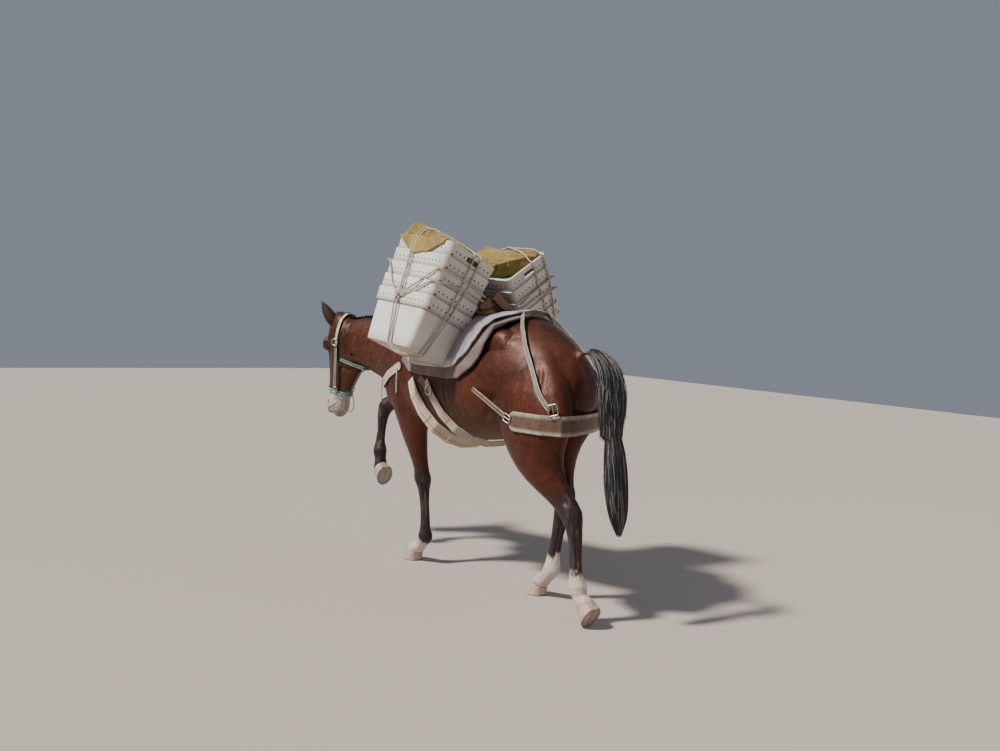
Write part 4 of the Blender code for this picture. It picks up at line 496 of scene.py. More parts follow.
# Each leg: x, y, z, half depth, half width and lean of its rings, then the hoof's sole and lift.
legs = {
    "front_left": ([
        (0.330, 0.125, 1.080, 0.130, 0.070, 0), (0.310, 0.145, 0.960, 0.150, 0.080, 0),
        (0.275, 0.140, 0.850, 0.130, 0.080, 0), (0.262, 0.125, 0.740, 0.098, 0.064, 0),
        (0.252, 0.098, 0.620, 0.066, 0.049, 0), (0.246, 0.074, 0.530, 0.049, 0.042, 0),
        (0.246, 0.062, 0.470, 0.051, 0.047, 0), (0.238, 0.055, 0.400, 0.037, 0.033, 0),
        (0.230, 0.049, 0.300, 0.032, 0.027, 0), (0.226, 0.044, 0.205, 0.035, 0.030, -2),
        (0.226, 0.041, 0.150, 0.045, 0.040, -12), (0.258, 0.040, 0.106, 0.035, 0.036, -38),
    ], (0.338, 0.040, 0.000), 0),
    "front_right": ([
        (0.330, -0.125, 1.090, 0.125, 0.070, 0), (0.370, -0.148, 0.990, 0.140, 0.078, -15),
        (0.430, -0.145, 0.905, 0.118, 0.076, -45), (0.520, -0.125, 0.865, 0.085, 0.064, -72),
        (0.620, -0.090, 0.852, 0.062, 0.052, -85), (0.715, -0.055, 0.848, 0.049, 0.044, -80),
        (0.775, -0.035, 0.822, 0.051, 0.047, -42), (0.795, -0.026, 0.760, 0.040, 0.036, -4),
        (0.793, -0.018, 0.680, 0.031, 0.027, 2), (0.788, -0.008, 0.610, 0.034, 0.030, 6),
        (0.780, -0.002, 0.556, 0.045, 0.040, 14), (0.764, 0.002, 0.508, 0.035, 0.036, 16),
    ], (0.702, 0.006, 0.415), 76),
    "hind_left": ([
        (-0.690, 0.095, 1.270, 0.080, 0.045, 0), (-0.700, 0.118, 1.180, 0.165, 0.078, 0),
        (-0.735, 0.148, 1.060, 0.220, 0.105, 0), (-0.760, 0.158, 0.940, 0.235, 0.112, 0),
        (-0.775, 0.162, 0.830, 0.205, 0.102, 8), (-0.810, 0.155, 0.730, 0.150, 0.082, 22),
        (-0.870, 0.138, 0.640, 0.095, 0.062, 34), (-0.938, 0.120, 0.565, 0.064, 0.049, 34),
        (-0.990, 0.108, 0.505, 0.063, 0.046, 22), (-1.012, 0.100, 0.420, 0.044, 0.036, 6),
        (-1.018, 0.092, 0.320, 0.036, 0.030, 2), (-1.022, 0.085, 0.225, 0.038, 0.033, 2),
        (-1.028, 0.080, 0.172, 0.048, 0.042, 14), (-1.050, 0.078, 0.125, 0.037, 0.037, 32),
    ], (-1.128, 0.078, 0.0490), 60),
    "hind_right": ([
        (-0.650, -0.095, 1.270, 0.080, 0.045, 0), (-0.660, -0.118, 1.180, 0.160, 0.078, 0),
        (-0.655, -0.148, 1.060, 0.195, 0.105, 0), (-0.645, -0.158, 0.940, 0.200, 0.112, 0),
        (-0.625, -0.162, 0.830, 0.175, 0.100, 8), (-0.630, -0.150, 0.730, 0.130, 0.080, 22),
        (-0.665, -0.130, 0.640, 0.085, 0.060, 30), (-0.702, -0.115, 0.565, 0.062, 0.048, 24),
        (-0.722, -0.106, 0.505, 0.062, 0.046, 8), (-0.708, -0.100, 0.420, 0.044, 0.036, -5),
        (-0.690, -0.097, 0.310, 0.036, 0.030, -8), (-0.674, -0.095, 0.210, 0.038, 0.033, -8),
        (-0.668, -0.095, 0.155, 0.047, 0.042, -18), (-0.636, -0.095, 0.110, 0.036, 0.037, -40),
    ], (-0.556, -0.095, 0.000), 0),
}
partNames = ["trunk", "neck", "head", "front_left", "front_right", "hind_left", "hind_right", "dock"]
neckPart, headPart, hindPart, dockPart = (partNames.index(k) for k in ("neck", "head", "hind_left", "dock"))


def onLeg(part):
    return (part > headPart) & (part < dockPart)


def turnAbout(axis, degrees):
    return np.array(Matrix.Rotation(math.radians(degrees), 3, axis))


headTurn = turnAbout("Z", body["headYaw"]) @ turnAbout("Y", -body["headTilt"])
headPlace = np.array(body["poll"])


def toHead(points):
    return (points - headPlace) @ headTurn


def fromHead(points):
    return np.asarray(points, float) @ headTurn.T + headPlace


# Places or directions that are given for the left, on the left (1) or the right (-1).
def sided(places, side):
    return np.array(places) * (1, side, 1)


# How far to the left the neck's middle line lies at each x.
def neckMiddle(x):
    return np.interp(x, [row[0] for row in body["neck"]], [row[1] for row in body["neck"]])


# Hoof frame: x to the toe, y left, z up, the sole's middle at the origin.
def fromHoof(points, name):
    place, lift = legs[name][1:]
    return np.asarray(points, float) @ turnAbout("Y", lift).T + np.array(place)


def leaning(degrees, down=True):
    angle = np.radians(degrees)
    return np.stack([np.cos(angle), 0 * angle, -np.sin(angle)], -1) if down else np.stack(
        [-np.sin(angle), 0 * angle, np.cos(angle)], -1)


def trunkRings(values, count=72):
    x, top, mid, bottom, wide, peak = smoothRows(values["trunk"], 6).T
    inset = values["coatDepth"]
    centre = np.stack([x, 0 * x, mid], -1)
    rise = np.tile(up, (len(x), 1))
    return ringRow(centre, rise, wide - inset, top - mid - inset, mid - bottom - inset, peak,
                   np.full(len(x), 0.9), count)


def neckRings(values, count=64):
    x, y, z, deep, wide, lean = smoothRows(values["neck"], 6).T
    inset = values["coatDepth"]
    centre = np.stack([x, y, z], -1)
    return ringRow(centre, leaning(lean, False), wide - inset, deep - inset, deep - inset,
                   np.full(len(x), 1.25), np.full(len(x), 0.85), count)


def headRings(values, count=64):
    down, face, jaw, wide, narrow = smoothRows(values["head"], 6).T
    inset = values["coatDepth"] * 0.7
    mid = face - (face - jaw) * 0.42
    down = down * values["headLength"] / values["head"][-1][0]
    rise = np.tile([1.0, 0, 0], (len(down), 1))
    rings = ringRow(np.stack([mid, 0 * mid, -down], -1), rise, wide - inset, face - mid - inset,
                    mid - jaw - inset, np.full(len(down), 0.8), narrow, count)
    return fromHead(rings)


# The sloping ring where hoof and hair meet, in the hoof's frame.
def coronet(values, grow=0.0, lower=0.0, count=40):
    middle = np.array([[-0.020, 0, values["hoofHeight"] * 0.80 - lower]])
    one = np.ones(1)
    deep = values["hoofLength"]
    return ringRow(middle, leaning(np.array([-16.0])), one * (values["hoofWidth"] * 0.43 + grow),
                   one * (deep * 0.37 + grow), one * (deep * 0.40 + grow), one, one, count)[0]


def legRings(name, values, count=40):
    x, y, z, deep, wide, lean = smoothRows(legs[name][0], 6).T
    inset = values["coatDepth"] * 0.8
    rings = ringRow(np.stack([x, y, z], -1), leaning(lean), wide - inset, deep - inset, deep - inset,
                    np.full(len(x), 0.92), np.full(len(x), 0.92), count)
    seat = fromHoof(coronet(values, -0.002, -0.001), name)
    halfWay = rings[-1] * 0.4 + seat * 0.6 + (seat - seat.mean(0)) * 0.06
    sunk = fromHoof(coronet(values, -0.006, 0.012), name)
    return np.concatenate([rings, halfWay[None], seat[None], sunk[None]])


def ballRings(centre, sizes, rows=14, count=28):
    polar = np.pi * np.arange(1, rows) / rows
    centre = np.array(centre) + up * (sizes[2] * np.cos(polar))[:, None]
    reach = np.sin(polar)
    one = np.ones(rows - 1)
    return ringRow(centre, np.tile([1.0, 0, 0], (rows - 1, 1)), sizes[1] * reach, sizes[0] * reach,
                   sizes[0] * reach, one, one, count)


def dockRings(values, count=24):
    x, y, z, radius = smoothRows(values["dock"], 5).T
    centre = np.stack([x, y, z], -1)
    along = unit(np.gradient(centre, axis=0))
    rise = np.cross(along, left)
    one = np.ones(len(x))
    return ringRow(centre, rise, radius, radius, radius, one, one, count)


# Where each part's middle line runs, and how thick the part is there.
def partAxes(values):
    axes = {"trunk": [(r[0], 0, (r[1] + r[3]) / 2, (r[1] - r[3]) / 2, r[4]) for r in values["trunk"]],
            "neck": [(r[0], r[1], r[2], r[3], r[4]) for r in values["neck"][2:]]}
    scale = values["headLength"] / values["head"][-1][0]
    heads = []
    for down, face, jaw, wide, narrow in values["head"]:
        heads.append((*fromHead([(face + jaw) / 2, 0, -down * scale]), (face - jaw) / 2, wide))
    axes["head"] = heads
    for name in legs:
        start = 2 if "front" in name else 3
        axes[name] = [row[:5] for row in legs[name][0][start:]]
    axes["dock"] = [(*row, row[3]) for row in values["dock"][1:]]
    return {name: np.array(axes[name], float) for name in partNames}


axes = partAxes(body)


# For each point: the part it belongs to, the way along that part's line and its turn about it.
def bodyPlaces(points):
    best = np.full(len(points), 1e9)
    part = np.zeros(len(points), int)
    way = np.zeros(len(points))
    turn = np.zeros(len(points))
    for index, name in enumerate(partNames):
        axis = axes[name]
        far, along = toPath(points, axis[:, :3])
        size = np.interp(along, np.arange(len(axis)), (axis[:, 3] + axis[:, 4]) / 2)
        share = far / size
        near = share < best
        centre = readRows(axis, along)
        ahead = unit(readRows(np.gradient(axis[:, :3], axis=0), along))
        side = unit(left - ahead * (ahead @ left)[:, None])
        over = np.cross(ahead, side)
        off = points - centre
        angle = np.degrees(np.arctan2((off * over).sum(1), (off * side).sum(1)))
        best[near], part[near], way[near], turn[near] = share[near], index, along[near], angle[near]
    return part, way, turn


# A soft ridge along a path, or a round bump at a path of one point.
def bump(points, path, width, height):
    path = list(path) if len(path) > 1 else [path[0], path[0]]
    far = toPath(points, path)[0]
    return height * np.exp(-(far / width) ** 2)


# Muscles and bones under the trunk's skin on the left; the right side mirrors them.
trunkForms = [
    ([(0.235, 0.17, 1.36), (0.33, 0.205, 1.20), (0.40, 0.21, 1.06)], 0.032, 0.006),   # shoulder blade
    ([(0.135, 0.20, 1.33), (0.150, 0.245, 1.16), (0.150, 0.245, 1.02)], 0.022, -0.006),
    ([(0.34, 0.15, 1.36), (0.47, 0.16, 1.16), (0.53, 0.14, 1.02)], 0.024, -0.008),
    ([(0.52, 0.135, 1.00)], 0.045, 0.007),                                             # point of shoulder
    ([(0.20, 0.235, 0.98), (0.27, 0.235, 0.91)], 0.055, 0.009),                        # arm
    ([(0.175, 0.20, 0.84)], 0.030, 0.010),                                             # elbow
    ([(0.13, 0.23, 0.98), (0.105, 0.20, 0.85), (0.10, 0.12, 0.765)], 0.018, -0.007),
    ([(-0.430, 0.205, 1.285)], 0.045, 0.010),                                          # hip
    ([(-0.345, 0.235, 1.225)], 0.070, -0.012),                                         # flank
    ([(-0.60, 0.235, 0.875)], 0.050, 0.008),                                           # stifle
    ([(-0.545, 0.215, 0.93), (-0.47, 0.215, 0.865), (-0.40, 0.20, 0.80)], 0.020, 0.007),
    ([(-0.555, 0.235, 1.02), (-0.500, 0.23, 0.93), (-0.43, 0.22, 0.86)], 0.020, -0.008),
    ([(-0.80, 0.185, 1.23), (-0.855, 0.215, 1.05), (-0.88, 0.19, 0.86)], 0.016, -0.009),  # thigh
    ([(-0.69, 0.225, 1.20), (-0.74, 0.255, 1.04), (-0.76, 0.245, 0.90)], 0.020, -0.004),
    ([(-0.905, 0.085, 1.11)], 0.035, 0.008),                                           # buttock
]
# In the head's own frame, on its left: x to the face, z up to the poll.
headForms = [
    ([(0.018, 0.080, -0.215), (0.028, 0.064, -0.335)], 0.0085, 0.0055),                # facial crest
    ([(0.058, 0.072, -0.118), (0.066, 0.066, -0.150)], 0.020, 0.0015),                  # brow
    ([(0.048, 0.062, -0.088)], 0.018, -0.0035),
    ([(-0.012, 0.083, -0.118)], 0.022, 0.004),
    ([(-0.085, 0.065, -0.200)], 0.055, 0.007),                                         # cheek
    ([(-0.015, 0.073, -0.262), (-0.080, 0.056, -0.292), (-0.135, 0.040, -0.300)], 0.013, -0.007),
    ([(0.078, 0.034, -0.200), (0.066, 0.030, -0.420)], 0.012, 0.0035),                 # nose bones
    ([(0.036, 0.058, -0.350), (0.032, 0.055, -0.420)], 0.020, -0.006),
    ([(0.000, 0.056, -0.470), (0.012, 0.058, -0.500)], 0.010, -0.003),
]
# Beside the neck's own middle line, on its left.
neckForms = [
    ([(0.96, 0.06, 1.120), (0.74, 0.092, 1.055), (0.55, 0.120, 0.985)], 0.016, -0.008),
    ([(0.96, 0.07, 1.165), (0.74, 0.105, 1.110), (0.56, 0.130, 1.050)], 0.024, 0.006),
    ([(0.97, 0.07, 1.25), (0.92, 0.075, 1.235)], 0.022, 0.005),
]
eye = {
    "place": (0.047, 0.073, -0.170), "out": (0.30, 0.95, 0.0), "slant": (0.30, 0.0, -0.954),
    "halfLength": 0.0190, "halfHeight": 0.0105, "radius": 0.021, "lid": 0.0030,
}
nostril = {
    "place": (0.044, 0.042, -0.515), "out": (0.62, 0.78, -0.10), "slant": (0.35, 0.0, 0.94),
    "halfLength": 0.021, "halfHeight": 0.0115, "depth": 0.020,
}
# the lips' middle and half sizes seen from below, the line's height in front and its rise to the corners
mouth = {"middle": -0.012, "deep": 0.050, "wide": 0.052, "front": -0.566, "rise": 0.066, "turn": 128,
         "groove": 0.0085, "lip": 0.0022}


# The outward, lengthwise and crosswise directions of the eye or the nostril on one side.
def featureWays(feature, side):
    out = unit(sided(feature["out"], side))
    slant = np.array(feature["slant"])
    along = unit(slant - out * (slant @ out))
    return out, along, np.cross(out, along) * side


# How far points in the head's frame are from the eye or the nostril on one side.
def farFrom(local, feature, side):
    return np.linalg.norm(local - sided(feature["place"], side), axis=1)


def ribs():
    found = []
    for k in range(8):
        x = -0.02 - 0.048 * k
        found.append(([(x + 0.03, 0.262, 1.14), (x, 0.262, 1.00), (x - 0.035, 0.235, 0.87)], 0.011, 0.0026))
    return found


# Loose skin gathers in narrow folds behind the front cinch.
def girthFolds():
    found = []
    for k in range(6):
        x = 0.055 - 0.030 * k
        path = [(x - 0.02, 0.258, 0.99 - 0.01 * k), (x - 0.075, 0.235, 0.88), (x - 0.145, 0.16, 0.785)]
        found.append((path, 0.0075, 0.0042))
    return found


# Averages each point with its neighbours, in rounds; weight says how much, point by point.
def relax(points, edges, weight, rounds):
    a, b = edges.T
    size = len(points)
    count = np.bincount(a, minlength=size) + np.bincount(b, minlength=size)
    count = np.maximum(count, 1)[:, None]
    for _ in range(rounds):
        total = np.stack([np.bincount(a, points[b, k], size) + np.bincount(b, points[a, k], size)
                          for k in range(3)], -1)
        points = points + weight[:, None] * 0.5 * (total / count - points)
    return points


def edgesOf(thing):
    pairs = np.zeros(len(thing.data.edges) * 2, np.int32)
    thing.data.edges.foreach_get("vertices", pairs)
    return pairs.reshape(-1, 2)


def soften(thing, weight, rounds):
    points = coordsOf(thing)
    setCoords(thing, relax(points, edgesOf(thing), np.broadcast_to(weight, len(points)), rounds))


# Splits every edge of the faces whose middles are chosen.
def subdivide(thing, choose):
    shell = bmesh.new()
    shell.from_mesh(thing.data)
    shell.faces.ensure_lookup_table()
    middles = np.array([face.calc_center_median() for face in shell.faces])
    picked = np.flatnonzero(choose(middles))
    edges = {edge for index in picked for edge in shell.faces[index].edges}
    bmesh.ops.subdivide_edges(shell, edges=list(edges), cuts=1, use_grid_fill=True)
    shell.to_mesh(thing.data)
    shell.free()


# Lids: the skin wraps the ball, and inside an almond it sinks behind it.
def openEyes(points):
    local = toHead(points)
    for side in (1, -1):
        centre = sided(eye["place"], side)
        out, along, high = featureWays(eye, side)
        off = local - centre
        far = np.linalg.norm(off, axis=1)
        front = off @ out
        near = (far < 0.060) & (front > -0.012)
        u, v = off @ along / eye["halfLength"], off @ high / eye["halfHeight"]
        almond = np.sqrt(u ** 2 + (v / np.maximum(1 - 0.45 * u ** 2, 0.25)) ** 2)
        wrap = eye["radius"] + eye["lid"]
        spread = np.hypot(off @ along, off @ high)
        dome = np.sqrt(np.maximum(wrap ** 2 - np.minimum(spread, wrap * 0.80) ** 2, 0))
        fade = np.exp(-(np.maximum(spread - wrap * 0.80, 0) / 0.019) ** 2)
        push = np.where((front > -0.022) & (spread < 0.075), np.maximum(dome - front, 0) * fade, 0)
        local += out * push[:, None]
        far = np.linalg.norm(local - centre, axis=1)
        inside = near & (front > 0) & (almond < 1.12)
        sink = (1 - softStep(almond, 0.92, 1.12)) * np.maximum(far - eye["radius"] * 0.80, 0)
        local = np.where(inside[:, None], local - out * sink[:, None], local)
        rim = np.exp(-((almond - 1.28) / 0.20) ** 2) * np.where(near & (front > 0), 0.0016, 0)
        crease = -np.exp(-((almond - 2.0) / 0.20) ** 2) * np.where(near & (front > -0.004), 0.0018, 0)
        local += unit(local - centre) * (rim + crease)[:, None]
    return fromHead(local)


# Nostrils: a comma-shaped hollow with a raised rim.
def openNostrils(points):
    local = toHead(points)
    for side in (1, -1):
        out, along, across = featureWays(nostril, side)
        off = local - sided(nostril["place"], side)
        u, v = off @ along / nostril["halfLength"], off @ across / nostril["halfHeight"]
        v = v + 0.45 * u ** 2 - 0.2
        shape = np.sqrt(u ** 2 + v ** 2)
        near = (np.linalg.norm(off, axis=1) < 0.06) & (local[:, 1] * side > 0.004)
        sink = nostril["depth"] * (1 - softStep(shape, 0.45, 1.0))
        rim = 0.0045 * np.exp(-((shape - 1.22) / 0.26) ** 2)
        local += np.where(near[:, None], out * (rim - sink)[:, None], 0)
    return fromHead(local)


# The mouth's line runs round the lips from one corner to the other, at a height for each turn.
def drawMouth(points, normals, values):
    local = toHead(points)
    ahead, aside = local[:, 0] - values["middle"], local[:, 1]
    angle = np.degrees(np.arctan2(aside / values["wide"], ahead / values["deep"]))
    turns = np.linspace(-values["turn"], values["turn"], 41)
    back = (1 - np.cos(np.radians(turns))) / 2
    off = local[:, 2] - np.interp(angle, turns, values["front"] + values["rise"] * back)
    groove = (-values["groove"] * np.exp(-(off / 0.0032) ** 2)
              + values["lip"] * np.exp(-((np.abs(off) - 0.010) / 0.006) ** 2))
    lips = (local[:, 2] < -0.44) & (np.abs(angle) < values["turn"] + 3)
    ends = 1 - softStep(np.abs(angle), values["turn"] - 10, values["turn"] + 3)
    return points + normals * np.where(lips, groove * ends, 0)[:, None]


def shapeLegs(points, normals, part, way, turn):
    total = np.zeros(len(points))

    def at(angle, spread):
        return np.exp(-((((turn - angle + 180) % 360) - 180) / spread) ** 2)

    for index, name in enumerate(partNames):
        if "_" not in name:
            continue
        here = part == index
        joint = 4 if "front" in name else 5        # knee or hock, along the part's own line
        cannon = softStep(way, joint + 0.5, joint + 1.0) * (1 - softStep(way, joint + 2.9, joint + 3.4))
        rear, sides = at(-90, 34), at(-53, 13) + at(-127, 13)
        total += here * cannon * (-0.0045 * sides + 0.0015 * rear)
        total += here * 0.0035 * np.exp(-((way - joint) / 0.35) ** 2) * (at(0, 40) + at(180, 40))
        fetlock = np.exp(-((way - joint - 4) / 0.30) ** 2)
        total += here * fetlock * (0.005 * rear + 0.002 * (at(0, 35) + at(180, 35)))
        if "hind" in name:
            total += here * 0.013 * np.exp(-((way - joint + 0.45) / 0.42) ** 2) * at(-90, 26)
            tendon = softStep(way, joint - 2.2, joint - 1.6) * (1 - softStep(way, joint - 0.7, joint - 0.2))
            total += here * tendon * (-0.010 * (at(-48, 18) + at(-132, 18)) + 0.004 * at(-90, 16))
        else:
            total += here * 0.004 * np.exp(-((way - joint) / 0.30) ** 2) * at(90, 40)
    return points + normals * total[:, None]


def makeSkin(values):
    pieces = [loft("trunk", trunkRings(values)), loft("neck", neckRings(values)),
              loft("skull", headRings(values)), loft("dock", dockRings(values))]
    pieces += [loft(name, legRings(name, values)) for name in legs]
    for side in (1, -1):
        pieces += [loft("ball", ballRings(sided(centre, side), sizes))
                   for centre, sizes in values["bodyBalls"]]
        pieces += [loft("ball", fromHead(ballRings(sided(centre, side), sizes)))
                   for centre, sizes in values["faceBalls"]]
    pieces += [loft("ball", fromHead(ballRings(centre, sizes))) for centre, sizes in values["lipBalls"]]
    skin = remesh(joined("skin", pieces), values["voxel"])

    points = coordsOf(skin)
    onFace = bodyPlaces(points)[0] == headPart
    x, z = points[:, 0], points[:, 2]
    core = softStep(z, 0.70, 0.86) * (1 - softStep(x, 0.62, 0.90))
    core = np.maximum(core, 0.55 * softStep(z, 0.62, 0.70) * (x < -0.5))
    soften(skin, np.clip(core, 0.06, 1) * np.where(onFace, 0.12, 1), values["blendRounds"])

    def limbs(middles):
        part, way = bodyPlaces(middles)[:2]
        return onLeg(part) & (way > np.where(part < hindPart, 3.0, 3.2)) | (part == headPart)

    def fine(middles):
        local = toHead(middles)
        eyes = np.minimum(farFrom(local, eye, 1), farFrom(local, eye, -1)) < 0.042
        return eyes | (local[:, 2] < -0.468) & (local[:, 2] > -0.64) & (np.abs(local[:, 1]) < 0.09)

    subdivide(skin, limbs)
    part = bodyPlaces(coordsOf(skin))[0]
    soften(skin, np.where(onLeg(part) | (part == headPart), 0.6, 0.15), 3)
    subdivide(skin, fine)
    points = coordsOf(skin)
    local = toHead(points)
    onFace = bodyPlaces(points)[0] == headPart
    aside = np.abs(local[:, [1, 2]])
    near = (local[:, 2] < -0.46) | (np.linalg.norm(aside - (0.073, 0.170), axis=1) < 0.05)
    orbit = np.linalg.norm(aside - (0.073, 0.150), axis=1)
    soften(skin, np.where(near, 0.6, 0.0) * onFace, 2)
    soften(skin, 0.9 * (1 - softStep(orbit, 0.050, 0.075)) * onFace, values["orbitRounds"])

    points, normals = coordsOf(skin), normalsOf(skin)
    part, way, turn = bodyPlaces(points)
    onFace = part == headPart
    x = points[:, 0]
    trunk = softStep(points[:, 2], 0.70, 0.76) * (x < 0.62)
    neckZone = softStep(x, 0.45, 0.55) * ~onFace
    onNeck = points - left * neckMiddle(x)[:, None]
    lift = np.zeros(len(points))
    for forms, zone, places, sides in ((trunkForms + ribs(), trunk, points, (1, -1)),
                                       (girthFolds(), trunk, points, (1,)),
                                       (neckForms, neckZone, onNeck, (1, -1)),
                                       (headForms, onFace, toHead(points), (1, -1))):
        for path, width, height in forms:
            lift += zone * sum(bump(places, sided(path, side), width, height) for side in sides)
    lift += 0.0012 * noise(points, 0.045, 3) * ~onFace
    setCoords(skin, points + normals * lift[:, None])
    setCoords(skin, shapeLegs(coordsOf(skin), normalsOf(skin), part, way, turn))
    setCoords(skin, openEyes(coordsOf(skin)))
    setCoords(skin, openNostrils(coordsOf(skin)))
    setCoords(skin, drawMouth(coordsOf(skin), normalsOf(skin), mouth))
    step = skin.modifiers.new("lighter", "DECIMATE")
    step.ratio = values["keep"]
    return applyModifiers(skin)


# Markings: bay body, dark legs, white socks and a pale muzzle, by the place on the body, with painted shade
# along the top line and, in part, on the head

coatColours = {
    "bay": (0.072, 0.0175, 0.0085),
    # dark: painted shade on the top line, part painted shade on the head, and a line along the spine
    "dark": (0.018, 0.0085, 0.0065),
    "belly": (0.110, 0.042, 0.022),
    "point": (0.020, 0.018, 0.020),
    "grey": (0.085, 0.078, 0.076),
    "sock": (0.66, 0.57, 0.50),
    "pink": (0.56, 0.40, 0.34),
    "muzzle": (0.60, 0.52, 0.44),
    "lip": (0.16, 0.13, 0.125),
}
# Along each leg's own line: where its black starts, where it is full and where the white sock starts.
legMarks = {
    "front_left": (2.1, 3.4, 8.3),
    "front_right": (2.3, 3.6, 99.0),
    "hind_left": (3.2, 4.6, 7.9),
    "hind_right": (3.0, 4.4, 7.8),
}


def blend(a, b, share):
    return a * (1 - share[:, None]) + np.asarray(b) * share[:, None]


def coatColour(points):
    part, way, turn = bodyPlaces(points)
    x, y, z = points.T
    patch = noise(points, 0.16, 5) * 0.5 + noise(points, 0.06, 6) * 0.3 + noise(points, 0.02, 7) * 0.2
    colour = np.tile(coatColours["bay"], (len(points), 1)) * (1 + 0.75 * patch)[:, None]

    def mixIn(tone, share):
        colour[:] = blend(colour, coatColours[tone], share)

    onBody, onHead = part <= neckPart, part == headPart
    # painted shade: the top of the body and the neck darker, more towards the front
    mixIn("dark", onBody * 0.75 * softStep(z, 1.26, 1.42) * (0.6 + 0.4 * softStep(x, -0.2, 0.3)))
    mixIn("belly", onBody * 0.5 * (1 - softStep(z, 0.76, 0.88)))
    roan = softStep(noise(points, (0.010, 0.004, 0.010), 8), 0.45, 0.75) * softStep(x, 0.45, 0.75)
    mixIn("grey", roan * (part == neckPart) * 0.8)
    spine = np.abs(y - neckMiddle(x))
    mixIn("dark", onBody * 0.7 * (1 - softStep(spine, 0.01, 0.05)) * softStep(z, 1.2, 1.3))

    ragged = 0.22 * noise(points, 0.025, 9) + 0.12 * noise(points, 0.009, 10)
    greys = softStep(noise(points, (0.012, 0.012, 0.05), 11), 0.1, 0.7)
    for name, (first, full, white) in legMarks.items():
        here = part == partNames.index(name)
        outside = turn if "left" in name else 180 - turn
        inner = np.abs((outside + 180) % 360 - 180)
        mixIn("belly", here * 0.5 * softStep(inner, 110, 160) * (1 - softStep(way, 2, 3.5)))
        mixIn("point", here * softStep(way + ragged, first, full))
        mixIn("grey", here * greys * 0.55 * softStep(way, full - 0.5, full + 0.5))
        mixIn("sock", here * softStep(way + ragged, white - 0.15, white + 0.15))
        mixIn("pink", here * 0.55 * softStep(way, white + 1.2, white + 2.2))

    local = toHead(points)
    down = -local[:, 2]
    face = softStep(local[:, 0], 0.02, 0.07)
    # the head above the muzzle darker, most on the front of the face: partly its own darker coat, partly
    # painted shade
    mixIn("dark", onHead * (0.45 + 0.30 * face) * (1 - softStep(down, 0.40, 0.46)))
    mixIn("belly", onHead * 0.35 * (1 - face) * softStep(down, 0.10, 0.3))
    ragged = 0.018 * noise(points, 0.03, 12)
    mixIn("muzzle", onHead * softStep(down + ragged, 0.425, 0.475))
    streak = softStep(noise(local, (0.006, 0.006, 0.030), 13), 0.15, 0.75)
    mixIn("grey", onHead * 0.55 * streak * softStep(down, 0.44, 0.50))
    mixIn("lip", onHead * 0.75 * softStep(down + ragged, 0.540, 0.575))
    low = softStep(local[:, 0], 0.02, 0.05) * softStep(down, 0.165, 0.20)
    for side in (1, -1):
        eyeFar, noseFar = farFrom(local, eye, side), farFrom(local, nostril, side)
        mixIn("muzzle", onHead * 0.3 * low * np.exp(-((eyeFar - 0.036) / 0.009) ** 2))
        mixIn("point", onHead * (1 - softStep(eyeFar, 0.0255, 0.0300)))
        mixIn("lip", onHead * 0.85 * (1 - softStep(noseFar, 0.016, 0.030)))
    mixIn("point", (part == dockPart) * softStep(way, 0.3, 1.4))
    return np.clip(colour, 0.004, 1)


def paint(thing, colours):
    layer = thing.data.color_attributes.new("tint", "FLOAT_COLOR", "POINT")
    opaque = np.hstack([colours, np.ones((len(colours), 1))])
    layer.data.foreach_set("color", opaque.astype(np.float32).ravel())


def coatLook():
    look = Finish("short_bay_coat", None, 0.46, Sheen_Weight=0.03, Sheen_Roughness=0.4,
                  Specular_IOR_Level=0.42, Specular_Tint=(1.0, 0.66, 0.55))
    hairs = look.speckle(1.0, 3.0, look.place((70, 520, 420)))
    clumps = look.speckle(34.0, 3.0)
    tone = look.ramp(hairs, [(0.30, 0.45), (0.72, 1.40)])
    colour = look.mix(1.0, look.tint(), tone, "MULTIPLY")
    clumped = look.mix(1.0, colour, look.ramp(clumps, [(0.35, 0.55), (0.7, 1.3)]), "MULTIPLY")
    look.put("Base Color", look.mix(0.35, colour, clumped))
    look.put("Roughness", look.node("ShaderNodeMapRange", "Result", Value=clumps, i3=0.30, i4=0.58))
    fine = look.bump(hairs, 0.30, 0.0012)
    look.bump(clumps, 0.25, 0.004, fine)
    return look


# A search tree over the solids of CAD nodes.
def treeOf(*names):
    points, faces = [], []
    for name in names:
        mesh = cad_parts[name].data
        first = len(points)
        points += [v.co for v in mesh.vertices]
        faces += [[first + i for i in face.vertices] for face in mesh.polygons]
    return BVHTree.FromPolygons(points, faces)


# The place on a tree that is nearest to each point, and the normal there.
def nearest(tree, points):
    found = [tree.find_nearest(Vector(p))[:2] for p in points]
    return np.array([f[0] for f in found]), np.array([f[1] for f in found])


drawn = {"spare": 0.0005, "most": 0.02, "rounds": 4}


# Where the skin stands out of the solids it is drawn in, softly, so that no facet shows.
def drawIn(thing, names, values):
    places = coordsOf(thing)
    near, facing = nearest(treeOf(*names), places)
    over = np.clip(((places - near) * facing).sum(1) + values["spare"], 0, values["most"])
    field = relax(np.repeat(over[:, None], 3, 1), edgesOf(thing), np.ones(len(over)), values["rounds"])[:, 0]
    setCoords(thing, places - normalsOf(thing) * np.maximum(field, 0)[:, None])


fleshNodes = ["torso", "neck", "head", "foreleg_left", "foreleg_right", "hindleg_left", "hindleg_right"]
shortCoat = coatLook()
skin = makeSkin(body)
print("skin has", len(skin.data.vertices), "points")
paint(skin, coatColour(coordsOf(skin)))
setCoords(skin, coordsOf(skin) + shift)
dress(skin, shortCoat, "coat", *fleshNodes)
drawIn(skin, fleshNodes, drawn)
skinShape = coordsOf(skin) - shift             # kept in the body's own layout for the coat and the straps
skinFaces = [list(face.vertices) for face in skin.data.polygons]
skinTree = BVHTree.FromPolygons([Vector(p) for p in skinShape], skinFaces)


# Ears, eyes and hooves

